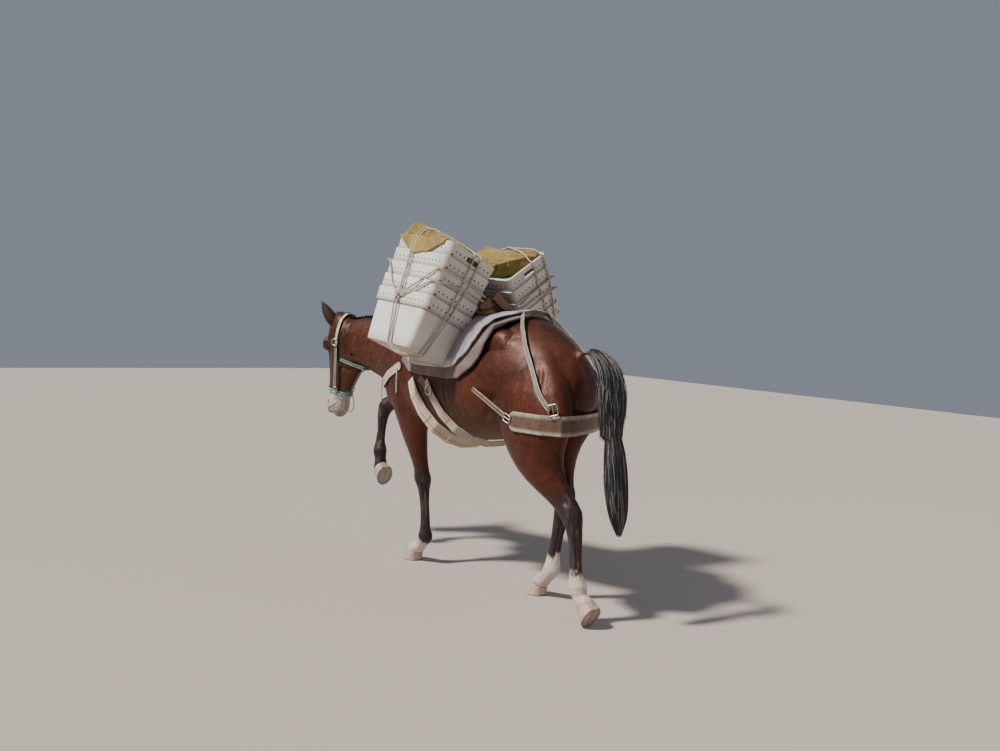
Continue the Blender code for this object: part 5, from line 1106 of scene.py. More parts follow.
ears = {
    "length": 0.203,
    "width": 0.070,
    "ways": {1: (0.131, 0.017, 0.134), -1: (0.58, -0.80, 0.15)},
    "mouths": {1: (0.70, 0.30, -0.64), -1: (0.50, 0.10, -0.85)},
    # way up the ear, width and opening in degrees
    "shape": [(-0.10, 0.40, 60), (0.05, 0.60, 40), (0.20, 0.88, 55), (0.38, 1.00, 75), (0.58, 0.88, 80),
              (0.78, 0.60, 80), (0.92, 0.28, 80), (1.0, 0.07, 80)],
}


def makeEar(name, side, values, arc=25):
    root = fromHead([0.0, side * 0.052, -0.050])
    along = unit(values["ways"][side])
    mouth = np.array(values["mouths"][side])
    mouth = unit(mouth - along * (mouth @ along))
    across = np.cross(along, mouth)
    way, wide, opening = smoothRows(values["shape"], 6).T
    radius = values["width"] / 2 * wide
    wall = np.minimum(0.0045, radius * 0.5)
    half = np.radians(180 - opening / 2 - 8)
    angle = np.pi + half[:, None] * np.linspace(-1, 1, arc)[None, :]
    spoke = mouth * np.cos(angle)[..., None] + across * np.sin(angle)[..., None]
    middle = (root + along * (values["length"] * way)[:, None])[:, None, :]
    outer = middle + spoke * radius[:, None, None]
    inner = middle + spoke * (radius - wall)[:, None, None]
    made = loft(name, np.concatenate([outer, inner[:, ::-1]], 1))
    points = coordsOf(made)
    edge = np.abs(np.degrees(np.arctan2((points - root) @ across, (points - root) @ mouth))) < 62
    tall = (points - root) @ along / values["length"]
    colour = np.tile(coatColours["bay"], (len(points), 1)) * 0.45
    colour = blend(colour, coatColours["point"], softStep(tall, 0.45, 0.90))
    colour = blend(colour, coatColours["belly"], 0.6 * edge * softStep(noise(points, 0.007, 3), 0.0, 0.6))
    paint(made, colour)
    setCoords(made, points + shift)
    return dress(made, earLook, "coat", name)


def makeEye(name, side):
    made = loft(name + "_ball", ballRings((0, 0, 0), (eye["radius"] * 0.985,) * 3, 28, 40))
    local = coordsOf(made)
    out = unit(sided(eye["out"], side))
    off = local - out * (local @ out)[:, None]
    front = local @ out > 0
    slant = unit(np.array(eye["slant"]))
    span = np.hypot(off @ slant / 0.0062, np.linalg.norm(np.cross(off, slant), axis=1) / 0.0034)
    far = np.linalg.norm(off, axis=1)
    colour = np.tile((0.030, 0.022, 0.018), (len(local), 1))
    colour = np.where((front & (far < 0.0135))[:, None], (0.020, 0.009, 0.005), colour)
    colour = np.where((front & (span < 1))[:, None], (0.004, 0.004, 0.006), colour)
    paint(made, colour)
    setCoords(made, fromHead(local + sided(eye["place"], side)) + shift)
    return dress(made, eyeLook, "eye", name)


# The wall widens from the coronet to the sole in fine growth rings, over a hollow sole with a frog.
def makeHoof(name, legName, pale, count=48):
    angle = 2 * np.pi * np.arange(count) / count
    ground = np.stack([np.maximum(body["hoofLength"] / 2 * np.sin(angle), -body["hoofLength"] * 0.44),
                       body["hoofWidth"] / 2 * np.cos(angle), 0 * angle], -1)
    top = coronet(body, -0.0012, 0.001, count)
    way = np.linspace(0, 1, 30)[:, None, None]
    wall = (ground * 0.982 + up * 0.004) * (1 - way) + top * way
    middle = wall.mean(1, keepdims=True)
    wall = middle + (wall - middle) * (1 + 0.010 * np.sin(way * 46) * (1 - way) - 0.030 * np.sin(np.pi * way))
    inner = [ground * share + up * high for share, high in
             ((0.30, 0.0075), (0.62, 0.0065), (0.84, 0.0035), (0.90, 0.0006), (0.955, 0.0))]
    cap = [top * 0.6 + top.mean(0) * 0.4 + up * 0.002]
    made = loft(name + "_horn", np.concatenate([np.array(inner), wall, np.array(cap)]))
    points = coordsOf(made)
    frog = (points[:, 2] < 0.009) & (points[:, 0] < 0.020)
    wedge = np.exp(-(points[:, 1] / (0.004 + 0.20 * np.maximum(0.02 - points[:, 0], 0))) ** 2)
    inside = np.linalg.norm(points[:, :2] / (0.060, 0.050), axis=1) < 0.88
    points[:, 2] -= np.where(frog & inside, 0.0055 * wedge, 0)
    streak = noise(np.stack([points[:, 0], points[:, 1], points[:, 2] * 0.12], -1), 0.006, 4)
    colour = np.tile(pale, (len(points), 1)) * (1 + 0.28 * streak)[:, None]
    colour = colour * (1 - 0.25 * (np.sin(points[:, 2] * 620) > 0.55))[:, None]
    colour = blend(colour, (0.30, 0.24, 0.19), 1 - softStep(points[:, 2], 0.0, 0.010))
    points = fromHoof(points, legName) + shift
    points[:, 2] = np.maximum(points[:, 2], 0.0002)
    setCoords(made, points)
    paint(made, np.clip(colour, 0.01, 1))
    return dress(made, hornLook, "horn", name)


def tintLook(name, roughness, grain, depth, **sockets):
    look = Finish(name, None, roughness, **sockets)
    fine = look.speckle(grain, 4.0)
    tone = look.ramp(fine, [(0.3, 0.78), (0.7, 1.15)])
    look.put("Base Color", look.mix(1.0, look.tint(), tone, "MULTIPLY"))
    look.bump(fine, 0.4, depth)
    return look


earLook = tintLook("ear_hair", 0.80, 260.0, 0.0008, Specular_IOR_Level=0.25)
eyeLook = Finish("wet_eye", None, 0.06, Coat_Weight=1.0, Coat_Roughness=0.03)
eyeLook.put("Base Color", eyeLook.tint())
hornLook = tintLook("worn_hoof_horn", 0.48, 90.0, 0.0006)
for sideName, side in (("left", 1), ("right", -1)):
    makeEar("ear_" + sideName, side, ears)
    makeEye("eye_" + sideName, side)
for hoofName, legName, pale in (("hoof_front_left", "front_left", (0.50, 0.36, 0.29)),
                                ("hoof_front_right", "front_right", (0.36, 0.32, 0.27)),
                                ("hoof_hind_left", "hind_left", (0.52, 0.37, 0.29)),
                                ("hoof_hind_right", "hind_right", (0.50, 0.38, 0.31))):
    makeHoof(hoofName, legName, pale)
print("ears, eyes and hooves made")


# The coat: thin tufts that lie along the body, and the mane

coat = {
    "tufts": 105000,
    "pieces": 3,
    "length": 0.012,
    "smallLength": 0.006,      # on the face and the feet
    "featherLength": 0.018,    # behind the fetlocks
    "width": 0.0016,
    "rise": 0.0016,
    "patch": 0.0015,
    "maneLocks": 3000,
    "seed": 7,
}


# Which way the hair runs at each point, along the part that it grows on.
def hairWays(points, normals):
    part, way, turn = bodyPlaces(points)
    run = np.tile((-0.95, 0.0, -0.45), (len(points), 1))
    run[part == 1] = (-0.60, 0.0, -0.80)
    for index, name in enumerate(partNames):
        if index < 2:
            continue
        axis = axes[name]
        here = part == index
        run[here] = readRows(unit(np.gradient(axis[:, :3], axis=0)), way[here])
    run = run - normals * (run * normals).sum(1)[:, None]
    return unit(run), part, way, turn


def surfaceSamples(thing, count, draw):
    mesh = thing.data
    mesh.calc_loop_triangles()
    corners = np.zeros(len(mesh.loop_triangles) * 3, np.int32)
    mesh.loop_triangles.foreach_get("vertices", corners)
    corners = corners.reshape(-1, 3)
    a, b, c = (skinShape[corners[:, k]] for k in range(3))
    cross = np.cross(b - a, c - a)
    area = np.linalg.norm(cross, axis=1)
    part = bodyPlaces((a + b + c) / 3)[0]
    small = np.where(onLeg(part) | (part == headPart), 1.9, 1.0)
    chosen = draw.choice(len(area), count, p=area * small / (area * small).sum())
    u, v = draw.random(count), draw.random(count)
    u, v = np.where(u + v > 1, 1 - u, u), np.where(u + v > 1, 1 - v, v)
    spot = a[chosen] + (b - a)[chosen] * u[:, None] + (c - a)[chosen] * v[:, None]
    return spot, unit(cross[chosen])


# A place on an unwrap of the body: one tile for each part, round it and along it.
def unwrap(part, way, turn):
    longest = np.array([len(axes[name]) - 1 for name in partNames])
    return np.stack([(part % 4 + 0.03 + 0.94 * (turn + 180) / 360) / 4,
                     (part // 4 + 0.03 + 0.94 * np.clip(way / longest[part], 0, 1)) / 2], -1)


def bakeMap(thing, uvOfPoints):
    layer = thing.data.uv_layers.new(name="OFBake")
    index = np.zeros(len(thing.data.loops), np.int32)
    thing.data.loops.foreach_get("vertex_index", index)
    layer.data.foreach_set("uv", uvOfPoints[index].astype(np.float32).ravel())


def makeCoat(values):
    draw = np.random.default_rng(values["seed"])
    root, normal = surfaceSamples(skin, values["tufts"], draw)
    run, part, way, turn = hairWays(root, normal)
    local = toHead(root)
    keep = np.ones(len(root), bool)
    for side in (1, -1):
        keep &= (farFrom(local, eye, side) > 0.0270) & (farFrom(local, nostril, side) > 0.020)
    keep &= (local[:, 2] > -0.535) | (part != headPart)
    root, normal, run, part, way, turn = (v[keep] for v in (root, normal, run, part, way, turn))
    small = (part == headPart) | onLeg(part) & (way > 4)
    length = np.where(small, values["smallLength"], values["length"]) * draw.uniform(0.7, 1.3, len(root))
    fetlock = np.abs(way - np.where(part < hindPart, 8, 9)) < 0.8
    length = np.where(onLeg(part) & fetlock & (np.abs(turn + 90) < 55), values["featherLength"], length)
    side = np.cross(normal, run)
    run = unit(run + side * (0.25 * noise(root, 0.03, 2) + draw.normal(0, 0.10, len(root)))[:, None])
    side = np.cross(normal, run)
    wide = values["width"] / 2 * draw.uniform(0.7, 1.2, len(root))
    rise = values["rise"] * np.where(small, 0.6, 1.0) * draw.uniform(0.6, 1.2, len(root))
    base = root - normal * 0.0004
    points = np.stack([base + side * wide[:, None], base - side * wide[:, None],
                       base + normal * 0.0007 + run * (length * 0.35)[:, None],
                       root + run * length[:, None] + normal * rise[:, None]], 1)
    colour = np.clip(coatColour(root) * draw.uniform(0.70, 1.40, len(root))[:, None], 0.003, 1)
    spot = unwrap(part, way, turn)
    edge = values["patch"]
    corner = np.array([[-edge, -edge], [edge, -edge], [0, 0], [0, edge]])
    order = np.argsort(root[:, 0])
    corners = np.array([[0, 2, 3], [2, 1, 3], [1, 0, 3], [0, 1, 2]])
    for number, chosen in enumerate(np.array_split(order, values["pieces"])):
        faces = (np.arange(len(chosen)) * 4)[:, None, None] + corners[None]
        made = meshObject("coat_%d" % (number + 1), points[chosen] + shift, faces.reshape(-1, 3), False)
        outward(made)
        bakeMap(made, (spot[chosen][:, None] + corner).reshape(-1, 2))
        paint(made, np.repeat(colour[chosen], 4, 0))
        dress(made, shortCoat, "coat")


# Flat tapered strands: rows of four points round each strand's line, closed at both ends.
def strands(name, line, side, out, half, thick):
    count, rows = line.shape[:2]
    aside, above = side * half[..., None], out * thick[..., None]
    ring = np.stack([line + aside, line + above, line - aside, line - above], 2)
    first = (np.arange(count) * rows * 4)[:, None, None]
    walls = gridQuads(rows, 4, True)
    caps = np.array([[0, 1, 2, 3], [(rows - 1) * 4 + k for k in (3, 2, 1, 0)]])
    faces = (first + np.vstack([walls, caps])[None]).reshape(-1, 4)
    return outward(meshObject(name, ring, faces))


def makeMane(values):
    draw = np.random.default_rng(values["seed"] + 1)
    count = values["maneLocks"]
    crest = np.array([fromHead([0.030, 0, 0.012]), fromHead([-0.020, 0, 0.028]),
                      (0.960, 0.082, 1.352), (0.790, 0.046, 1.352), (0.660, 0.018, 1.368),
                      (0.520, 0.002, 1.385), (0.400, 0.0, 1.380)])
    t = draw.uniform(0, len(crest) - 1.001, count)
    root = readRows(crest, t) + left * draw.normal(0, 0.007, count)[:, None]
    root, normal = nearest(skinTree, root)
    length = np.where(t < 1.2, 0.052, 0.017) * draw.uniform(0.6, 1.2, count) * np.where(t > 5, 0.6, 1)
    lean = np.where(t[:, None] < 1.2, (0.55, 0.10, -0.70), (-0.45, 0.35, 0.0))
    lean = lean + draw.normal(0, 0.13, (count, 3))
    way = np.linspace(0, 1, 5)[None, :, None]
    bend = normal[:, None] * way * 0.75 + lean[:, None] * way ** 1.6
    line = root[:, None] - normal[:, None] * 0.002 + bend * length[:, None, None]
    side = np.repeat(unit(np.cross(normal, lean))[:, None], 5, 1)
    out = np.cross(unit(np.gradient(line, axis=1)), side)
    half = np.repeat(np.array([[1.0, 1.1, 0.9, 0.6, 0.12]]) * 0.0013, count, 0)
    made = strands("mane", line + shift, side, out, half, half * 0.4)
    grey = (draw.random(count) < 0.16)[:, None]
    colour = np.where(grey, (0.20, 0.17, 0.15), (0.022, 0.014, 0.012)) * draw.uniform(0.7, 1.4, (count, 1))
    paint(made, np.repeat(colour, 20, 0))
    part, place, turn = bodyPlaces(root)
    bakeMap(made, np.repeat(unwrap(part, place, turn), 20, 0)
            + np.tile(np.linspace(-1, 1, 20)[:, None] * (values["patch"], values["patch"]), (count, 1)))
    return dress(made, hairLook, "coat")


# The tail: fine locks over the same rings as the solid's, x, z, half depth, half width and lean

tail = {
    "bell": [
        (-0.945, 1.262, 0.030, 0.036, 68), (-1.010, 1.235, 0.050, 0.055, 55),
        (-1.075, 1.170, 0.062, 0.075, 30), (-1.105, 1.080, 0.062, 0.085, 8),
        (-1.110, 0.980, 0.058, 0.082, 2), (-1.112, 0.905, 0.050, 0.070, 0),
        (-1.113, 0.860, 0.045, 0.060, 0),
    ],
    # its first row isn't the solid's: it starts the lower hair under the upper
    "switch": [
        (-1.113, 0.965, 0.042, 0.058, 0),
        (-1.120, 0.9045, 0.034, 0.044, 0), (-1.145, 0.780, 0.048, 0.062, 3),
        (-1.165, 0.640, 0.050, 0.066, 3), (-1.185, 0.520, 0.036, 0.050, 3),
        (-1.198, 0.43, 0.008, 0.012, 3),
    ],
    "locks": 2100,
    "rows": 9,
    "halfWidths": (0.0014, 0.0032),
    "seed": 21,
}


# Locks along the stations, each about span of them long and gathered at its root by the share gather.
def makeTail(name, stations, span, gather, node, values):
    draw = np.random.default_rng(values["seed"] + len(stations))
    count, rows = values["locks"], values["rows"]
    table = smoothRows(stations, 40)
    last = len(stations) - 1
    # early locks start under the dock's hair, and later ones further down
    start = draw.uniform(0.0, last - span * 0.75, count)
    end = np.minimum(start + span * draw.uniform(0.75, 1.25, count), last - 0.8 * draw.random(count) ** 1.5)
    share = np.linspace(0, 1, rows)[None, :]
    way = start[:, None] + (end - start)[:, None] * share
    x, z, deep, wide, lean = (np.interp(way * 40, np.arange(len(table)), table[:, k]) for k in range(5))
    lean = np.radians(lean)
    fore = np.stack([np.cos(lean), 0 * lean, -np.sin(lean)], -1)
    first = draw.uniform(0, 2 * np.pi, count)[:, None]
    twist = np.radians(draw.normal(0, 9, count))[:, None] * share
    angle = first + twist + 0.05 * np.sin(share * 9 + draw.uniform(0, 6, count)[:, None])
    reach = (0.40 + 0.58 * draw.random(count) ** 0.6)[:, None] * (gather + (1 - gather) * share ** 0.6)
    c, s = np.cos(angle)[..., None], np.sin(angle)[..., None]
    spoke = left * wide[..., None] * c + fore * deep[..., None] * s
    side = unit(fore * deep[..., None] * c - left * wide[..., None] * s)
    line = np.stack([x, 0 * x, z], -1) + spoke * reach[..., None]
    taper = np.interp(share, [0, 0.3, 0.75, 1], [0.5, 1, 0.75, 0.06])
    half = taper * draw.uniform(*values["halfWidths"], count)[:, None]
    made = strands(name, line + shift, side, unit(spoke), half, half * 0.35)
    grey = draw.random(count)[:, None]
    dark = np.where(grey < 0.45, (0.070, 0.070, 0.066), (0.012, 0.011, 0.012))
    colour = np.where(grey < 0.22, (0.20, 0.20, 0.19), dark)
    paint(made, np.repeat(colour * draw.uniform(0.7, 1.3, (count, 1)), rows * 4, 0))
    return dress(made, hairLook, "tail_hair", node)


hairLook = tintLook("long_black_hair", 0.58, 300.0, 0.0004)
makeCoat(coat)
makeMane(coat)
makeTail("tail_upper_hair", tail["bell"], 2.6, 0.55, "tail", tail)
makeTail("tail_lower_hair", tail["switch"], 2.2, 0.92, "tail_switch", tail)
print("coat, mane and tail made")


# Tubs, their loads and the ropes that hold them

tubs = {
    "rimLength": 0.445, "rimWidth": 0.330, "baseLength": 0.367, "baseWidth": 0.270,
    "height": 0.280, "band": 0.0725, "wall": 0.004, "corner": 0.032, "count": 5,
    # rearDustAndShade: dust and painted shade on the tubs' rear faces
    "white": (0.80, 0.80, 0.77), "rearDustAndShade": (0.56, 0.46, 0.40), "soleTan": (0.40, 0.30, 0.20),
    "shade": (0.24, 0.21, 0.18), "hole": 0.0060,
    "handSlot": ((-0.040, 0.228), (0.040, 0.228), (0.040, 0.256), (-0.040, 0.256)),
    # place on the animal, and lean, pitch and turn in degrees
    "stacks": {1: ((-0.013, 0.403, 1.191), 22.0, -5.3, 2.5), -1: ((0.038, -0.4564, 1.187), 30.7, -2.3, -8.0)},
}
stackTop = 4 * tubs["band"] + tubs["height"]


def stackPlace(side):
    place, lean, pitch, turn = tubs["stacks"][side]
    matrix = Matrix.Translation(Vector(place) + Vector(shift))
    for degrees, axis in ((side * turn, "Z"), (pitch, "Y"), (side * lean, "X")):
        matrix = matrix @ Matrix.Rotation(math.radians(degrees), 4, axis)
    return matrix


def onStack(side, points):
    matrix = np.array(stackPlace(side))
    return np.asarray(points, float) @ matrix[:3, :3].T + matrix[:3, 3]


# Half length and half width of a tub's wall at a height above its sole.
def tubHalf(height):
    share = height / tubs["height"]
    halves = []
    for way in ("Length", "Width"):
        base, rim = tubs["base" + way], tubs["rim" + way] - 0.016
        halves.append((base + (rim - base) * share) / 2)
    return np.array(halves)


# A rectangle with round corners; the straight sides carry points too.
def roundedRing(halfX, halfY, z, corner, perCorner=7, perSide=6):
    ring = []
    for quarter, (sx, sy) in enumerate(((1, 1), (-1, 1), (-1, -1), (1, -1))):
        angle = np.pi / 2 * (quarter + np.linspace(0, 1, perCorner))
        ring.append(np.stack([sx * (halfX - corner) + corner * np.cos(angle),
                              sy * (halfY - corner) + corner * np.sin(angle)], -1))
        nx, ny = ((-1, 1), (-1, -1), (1, -1), (1, 1))[quarter]
        following = np.array([nx * (halfX - corner) + corner * math.cos(np.pi / 2 * (quarter + 1)),
                              ny * (halfY - corner) + corner * math.sin(np.pi / 2 * (quarter + 1))])
        t = (np.arange(1, perSide) / perSide)[:, None]
        ring.append(ring[-1][-1] * (1 - t) + following * t)
    flat = np.vstack(ring)
    return np.hstack([flat, np.full((len(flat), 1), z)])


def makeTub(name, level, side):
    ledge = tubs["height"] - tubs["band"]
    wall, corner, tall = tubs["wall"], tubs["corner"], tubs["height"] - 0.0003
    rim = np.array([tubs["rimLength"], tubs["rimWidth"]]) / 2
    base, middle, top = tubHalf(0), tubHalf(ledge), tubHalf(tubs["height"])
    # half sizes, how far inside them, height and corner of each ring: up the outside and down the inside
    rows = [(base, 0.005, 0.0, corner - 0.004), (base, 0.0015, 0.0014, corner), (base, 0, 0.005, corner)]
    rows += [(base + (middle - base) * t, 0, ledge * t, corner) for t in (0.25, 0.5, 0.75, 0.97, 1.0)]
    rows += [(rim, inset, z, corner) for inset, z in
             ((0.0075, ledge), (0.0058, ledge + 0.002), (0.0040, ledge + 0.030), (0.0012, tall - 0.012),
              (0, tall - 0.008), (0, tall - 0.002), (0.002, tall))]
    rows += [(half, inset, z, corner - wall) for half, inset, z in
             ((top, wall, tall), (top, wall, tall - 0.003), (middle, wall, ledge), (base, wall, wall + 0.004),
              (base, wall + 0.004, wall))]
    rings = np.array([roundedRing(*(half - inset), z, bend) for half, inset, z, bend in rows])
    made = loft(name + "_moulded", rings)
    if level == tubs["count"] - 1:
        ends = np.array([[(x, y, z) for y, z in tubs["handSlot"]] for x in (-0.3, 0.3)])
        hole = loft("hole", ends, False)
        step = made.modifiers.new("hand_slots", "BOOLEAN")
        step.object, step.solver = hole, "EXACT"
        applyModifiers(made)
        bpy.data.objects.remove(hole)
    points = coordsOf(made)
    x, y, z = points.T
    colour = np.tile(tubs["white"], (len(points), 1))
    # the rear face beige: partly dust, partly painted shade
    colour = blend(colour, tubs["rearDustAndShade"], 0.75 * softStep(-x / rim[0], 0.78, 0.95))
    # the lowest tub tan towards its sole
    colour = blend(colour, tubs["soleTan"], 0.7 * (1 - softStep(z, 0.0, 0.012)) * (level == 0))
    colour = blend(colour, tubs["shade"], 0.85 * np.exp(-((z - ledge) / 0.004) ** 2))
    paint(made, colour)
    setCoords(made, onStack(side, points + up * (level * tubs["band"])))
    made.data.set_sharp_from_angle(angle=math.radians(40))
    return dress(made, tubLook, "tub_plastic", name)


# Small holes in one row along each band, on all four faces, and two slots on the rear one, drawn as dark
# plugs: their black is painted shade in the holes.
def makeDots(side):
    spots, ways, wide = [], [], []
    outX, outY = tubs["rimLength"] / 2 - 0.0040, tubs["rimWidth"] / 2 - 0.0040
    for level in range(tubs["count"]):
        z = level * tubs["band"] + tubs["height"] - tubs["band"] + 0.034
        for along in np.arange(-0.18, 0.181, 0.030):
            spots += [(along, outY, z), (along, -outY, z)]
            ways += [(0, 1, 0), (0, -1, 0)]
            wide += [1, 1]
        for along in np.arange(-0.12, 0.121, 0.030):
            spots += [(outX, along, z), (-outX, along, z)]
            ways += [(1, 0, 0), (-1, 0, 0)]
            wide += [1, 1]
        for along in (0.060, 0.128):
            spots.append((-outX + 0.0020, side * along, z - 0.022))
            ways.append((-1, 0, 0))
            wide.append(2.6)
    spots, ways = np.array(spots, float), np.array(ways, float)
    first = np.cross(ways, up) * np.array(wide)[:, None]
    angle = 2 * np.pi * np.arange(8) / 8
    disc = (first[:, None] * np.cos(angle)[None, :, None] + up * np.sin(angle)[None, :, None])
    low = spots[:, None] + disc * tubs["hole"] - ways[:, None] * 0.0030
    high = spots[:, None] + disc * tubs["hole"] * 0.92 + ways[:, None] * 0.0006
    points = np.stack([low, high], 1).reshape(-1, 3)
    k = np.arange(8)
    n = (k + 1) % 8
    base = (np.arange(len(spots)) * 16)[:, None, None]
    walls = (base + np.stack([k, n, 8 + n, 8 + k], -1)[None]).reshape(-1, 4)
    caps = (base + np.array([k[::-1], 8 + k])[None]).reshape(-1, 8)
    name = "tub_holes_" + ("left" if side > 0 else "right")
    made = meshObject(name, onStack(side, points), [walls, caps], False)
    return dress(outward(made), holeLook, "tub_plastic")


flap = {"least": 0.012, "drop": 0.070, "fold": 0.0055, "thick": 0.0024, "stations": 80, "rows": 20}


# The near load's canvas hangs over the stack's outer rim, deepest in the middle.
def makeFlap(values):
    rimX, rimY = tubs["rimLength"] / 2, tubs["rimWidth"] / 2
    count = values["stations"]
    t = np.linspace(0, 1, count)
    x = rimX - 0.022 - (2 * rimX - 0.080) * t
    wave = noise(np.stack([x, 0 * x, 0 * x], -1), 0.035, 62)
    drop = values["least"] + values["drop"] * np.sin(np.pi * t) ** 1.2 * (1 + 0.22 * wave)
    over = [(-0.050, 0.020), (-0.024, 0.012), (-0.004, 0.0045), (0.0030, -0.004)]
    hang = np.linspace(0, 1, values["rows"])[1:]
    y = rimY + np.concatenate([[row[0] for row in over], np.full(len(hang), over[-1][0])])
    z = np.hstack([np.tile([row[1] for row in over], (count, 1)), over[-1][1] - drop[:, None] * hang])
    middle = np.stack([np.repeat(x[:, None], len(y), 1), np.tile(y, (count, 1)), stackTop + z], -1)
    out = unit(np.array([(0, 0.2, 1), (0, 0.3, 1), (0, 0.7, 0.7), (0, 1, 0.2)] + [(0, 1, 0)] * len(hang)))
    ridge = (1 - np.abs(noise(middle.reshape(-1, 3), (0.034, 1.0, 0.15), 61))) ** 2
    fold = values["fold"] * ridge.reshape(count, -1, 1) * (z < 0.01)[..., None]
    half = values["thick"] / 2
    rings = np.concatenate([middle + out * (half + fold), (middle - out * half)[:, ::-1]], 1)
    return loft("flap", onStack(1, rings.reshape(-1, 3)).reshape(rings.shape))


# A copy of a solid, remeshed finely and evenly.
def remeshed(node, ending, voxel):
    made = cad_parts[node].copy()
    made.data = made.data.copy()
    made.name = node + ending
    bpy.context.scene.collection.objects.link(made)
    return remesh(outward(made, 0.00005), voxel)


# A wrapped load or sack: the solid remeshed finely, with creased folds where it shows above the rim.
def makeLoad(node, look, slotName, side, depth, seed):
    made = remeshed(node, "_cloth", 0.0045)
    points = relax(coordsOf(made), edgesOf(made), np.ones(len(made.data.vertices)), 9)
    setCoords(made, points)
    matrix = np.array(stackPlace(side).inverted())
    local = points @ matrix[:3, :3].T + matrix[:3, 3]
    shown = softStep(local[:, 2], 0.540, 0.585) if "sack" not in node else np.full(len(points), 0.6)
    bend = local + 0.030 * np.stack([noise(local, 0.11, seed + k) for k in range(3)], -1)
    ridge = 1 - np.abs(noise(bend, (0.11, 0.050, 0.09), seed))
    fine = 1 - np.abs(noise(bend, (0.045, 0.020, 0.04), seed + 5))
    dip = depth * (1 - ridge ** 3) + depth * 0.35 * (1 - fine ** 2)
    setCoords(made, points - normalsOf(made) * ((dip - 0.45 * depth) * shown)[:, None])
    if node == "manty_left":
        made = joined(node + "_cloth", [made, makeFlap(flap)])
    made.data.shade_smooth()
    dress(made, look, slotName, node)


def resample(line, step):
    line = np.asarray(line, float)
    far = np.concatenate([[0], np.cumsum(stepLengths(line))])
    at = np.linspace(0, far[-1], max(int(far[-1] / step), 3) + 1)
    return np.stack([np.interp(at, far, line[:, k]) for k in range(3)], -1)


def rounded(line, rounds):
    for _ in range(rounds):
        line[1:-1] = line[1:-1] * 0.5 + (line[:-2] + line[2:]) * 0.25
    return line


# A round bar along a line; lobes turn with the way to lay it like a rope.
def tube(name, line, radius, sides=12, lobes=0, lay=0.0, closed=False):
    along = unit(np.gradient(line, axis=0))
    if closed:
        along = unit(np.roll(line, -1, 0) - np.roll(line, 1, 0))
    side = np.zeros_like(line)
    last = unit(np.cross(along[0], up + 0.3 * left + 0.01))
    for i, way in enumerate(along):
        last = unit(last - way * (last @ way))
        side[i] = last
    over = np.cross(along, side)
    far = np.concatenate([[0], np.cumsum(stepLengths(line))])
    angle = 2 * np.pi * np.arange(sides) / sides
    lobe = np.abs(np.cos(lobes / 2 * (angle[None] - far[:, None] * lay)))
    size = radius * (1 - 0.16 * (lobes > 0) * (1 - lobe))
    ring = (line[:, None] + (side[:, None] * np.cos(angle)[None, :, None]
                             + over[:, None] * np.sin(angle)[None, :, None]) * size[..., None])
    if not closed:
        return loft(name, ring)
    rows = len(line)
    faces = gridQuads(rows + 1, sides, True) % (rows * sides)
    return outward(meshObject(name, ring, faces))


knot = (0.010, 0.240)              # on the stack's outer face, in its frame
ropeRadius = 0.0045
ropeOff = ropeRadius + 0.0018      # how far the rope's middle stands off what it lies on
ropeTurn = ropeOff * 0.75          # and off a corner that it turns round
ropeX, ropeY = tubs["rimLength"] / 2 + ropeOff, tubs["rimWidth"] / 2 + ropeOff
# how far each side's rear runs stand from the middle, and how far apart
slings = {1: (-0.014, 0.022), -1: (0.080, 0.045)}


# The rope's way over a load, in the stack's frame: the taut line over what rays from above find.
def overLoad(side, nodes, start, end, count=60):
    tree = treeOf(*nodes)
    matrix = stackPlace(side)
    down = -(matrix.to_3x3() @ Vector((0, 0, 1)))
    back = matrix.inverted()
    chain = []
    for k in range(count + 1):
        x = start[0] + (end[0] - start[0]) * k / count
        y = start[1] + (end[1] - start[1]) * k / count
        hit = tree.ray_cast(matrix @ Vector((x, side * y, 1.2)), down)[0]
        z = (back @ hit).z + ropeRadius + 0.002
        while len(chain) > 1:
            (a, za), (b, zb) = (chain[-2][0], chain[-2][3]), (chain[-1][0], chain[-1][3])
            if (zb - za) * (k - b) > (z - zb) * (b - a):
                break
            chain.pop()
        chain.append((k, x, y, z))
    return [row[1:] for row in chain]


# Up the stack's rear face from the knot, by way of its sole.
def slingLow(way, slide, spread):
    baseX, baseY = tubHalf(0)
    step, rear = way * 0.013, slide + way * spread
    return [(knot[0] + way * 0.008, ropeY + 0.006, knot[1] - 0.010), (0.016 + step, ropeY - 0.006, 0.200),
            (-0.030 + step, baseY + ropeOff, 0.012), (-0.040 + step, baseY + ropeTurn, -ropeTurn),
            (-0.095 + step, 0.100 + step, -0.032), (-baseX + 0.020, 0.060 + step, -0.020),
            (-baseX - ropeTurn, 0.045 + step, -ropeTurn), (-baseX - ropeOff, 0.040 + step, 0.012),
            (-ropeX, 0.022 + rear * 0.5, 0.204), (-ropeX, rear, 0.420), (-ropeX, rear, stackTop - 0.004),
            (-ropeX + ropeOff - ropeTurn, rear, stackTop + ropeTurn)]


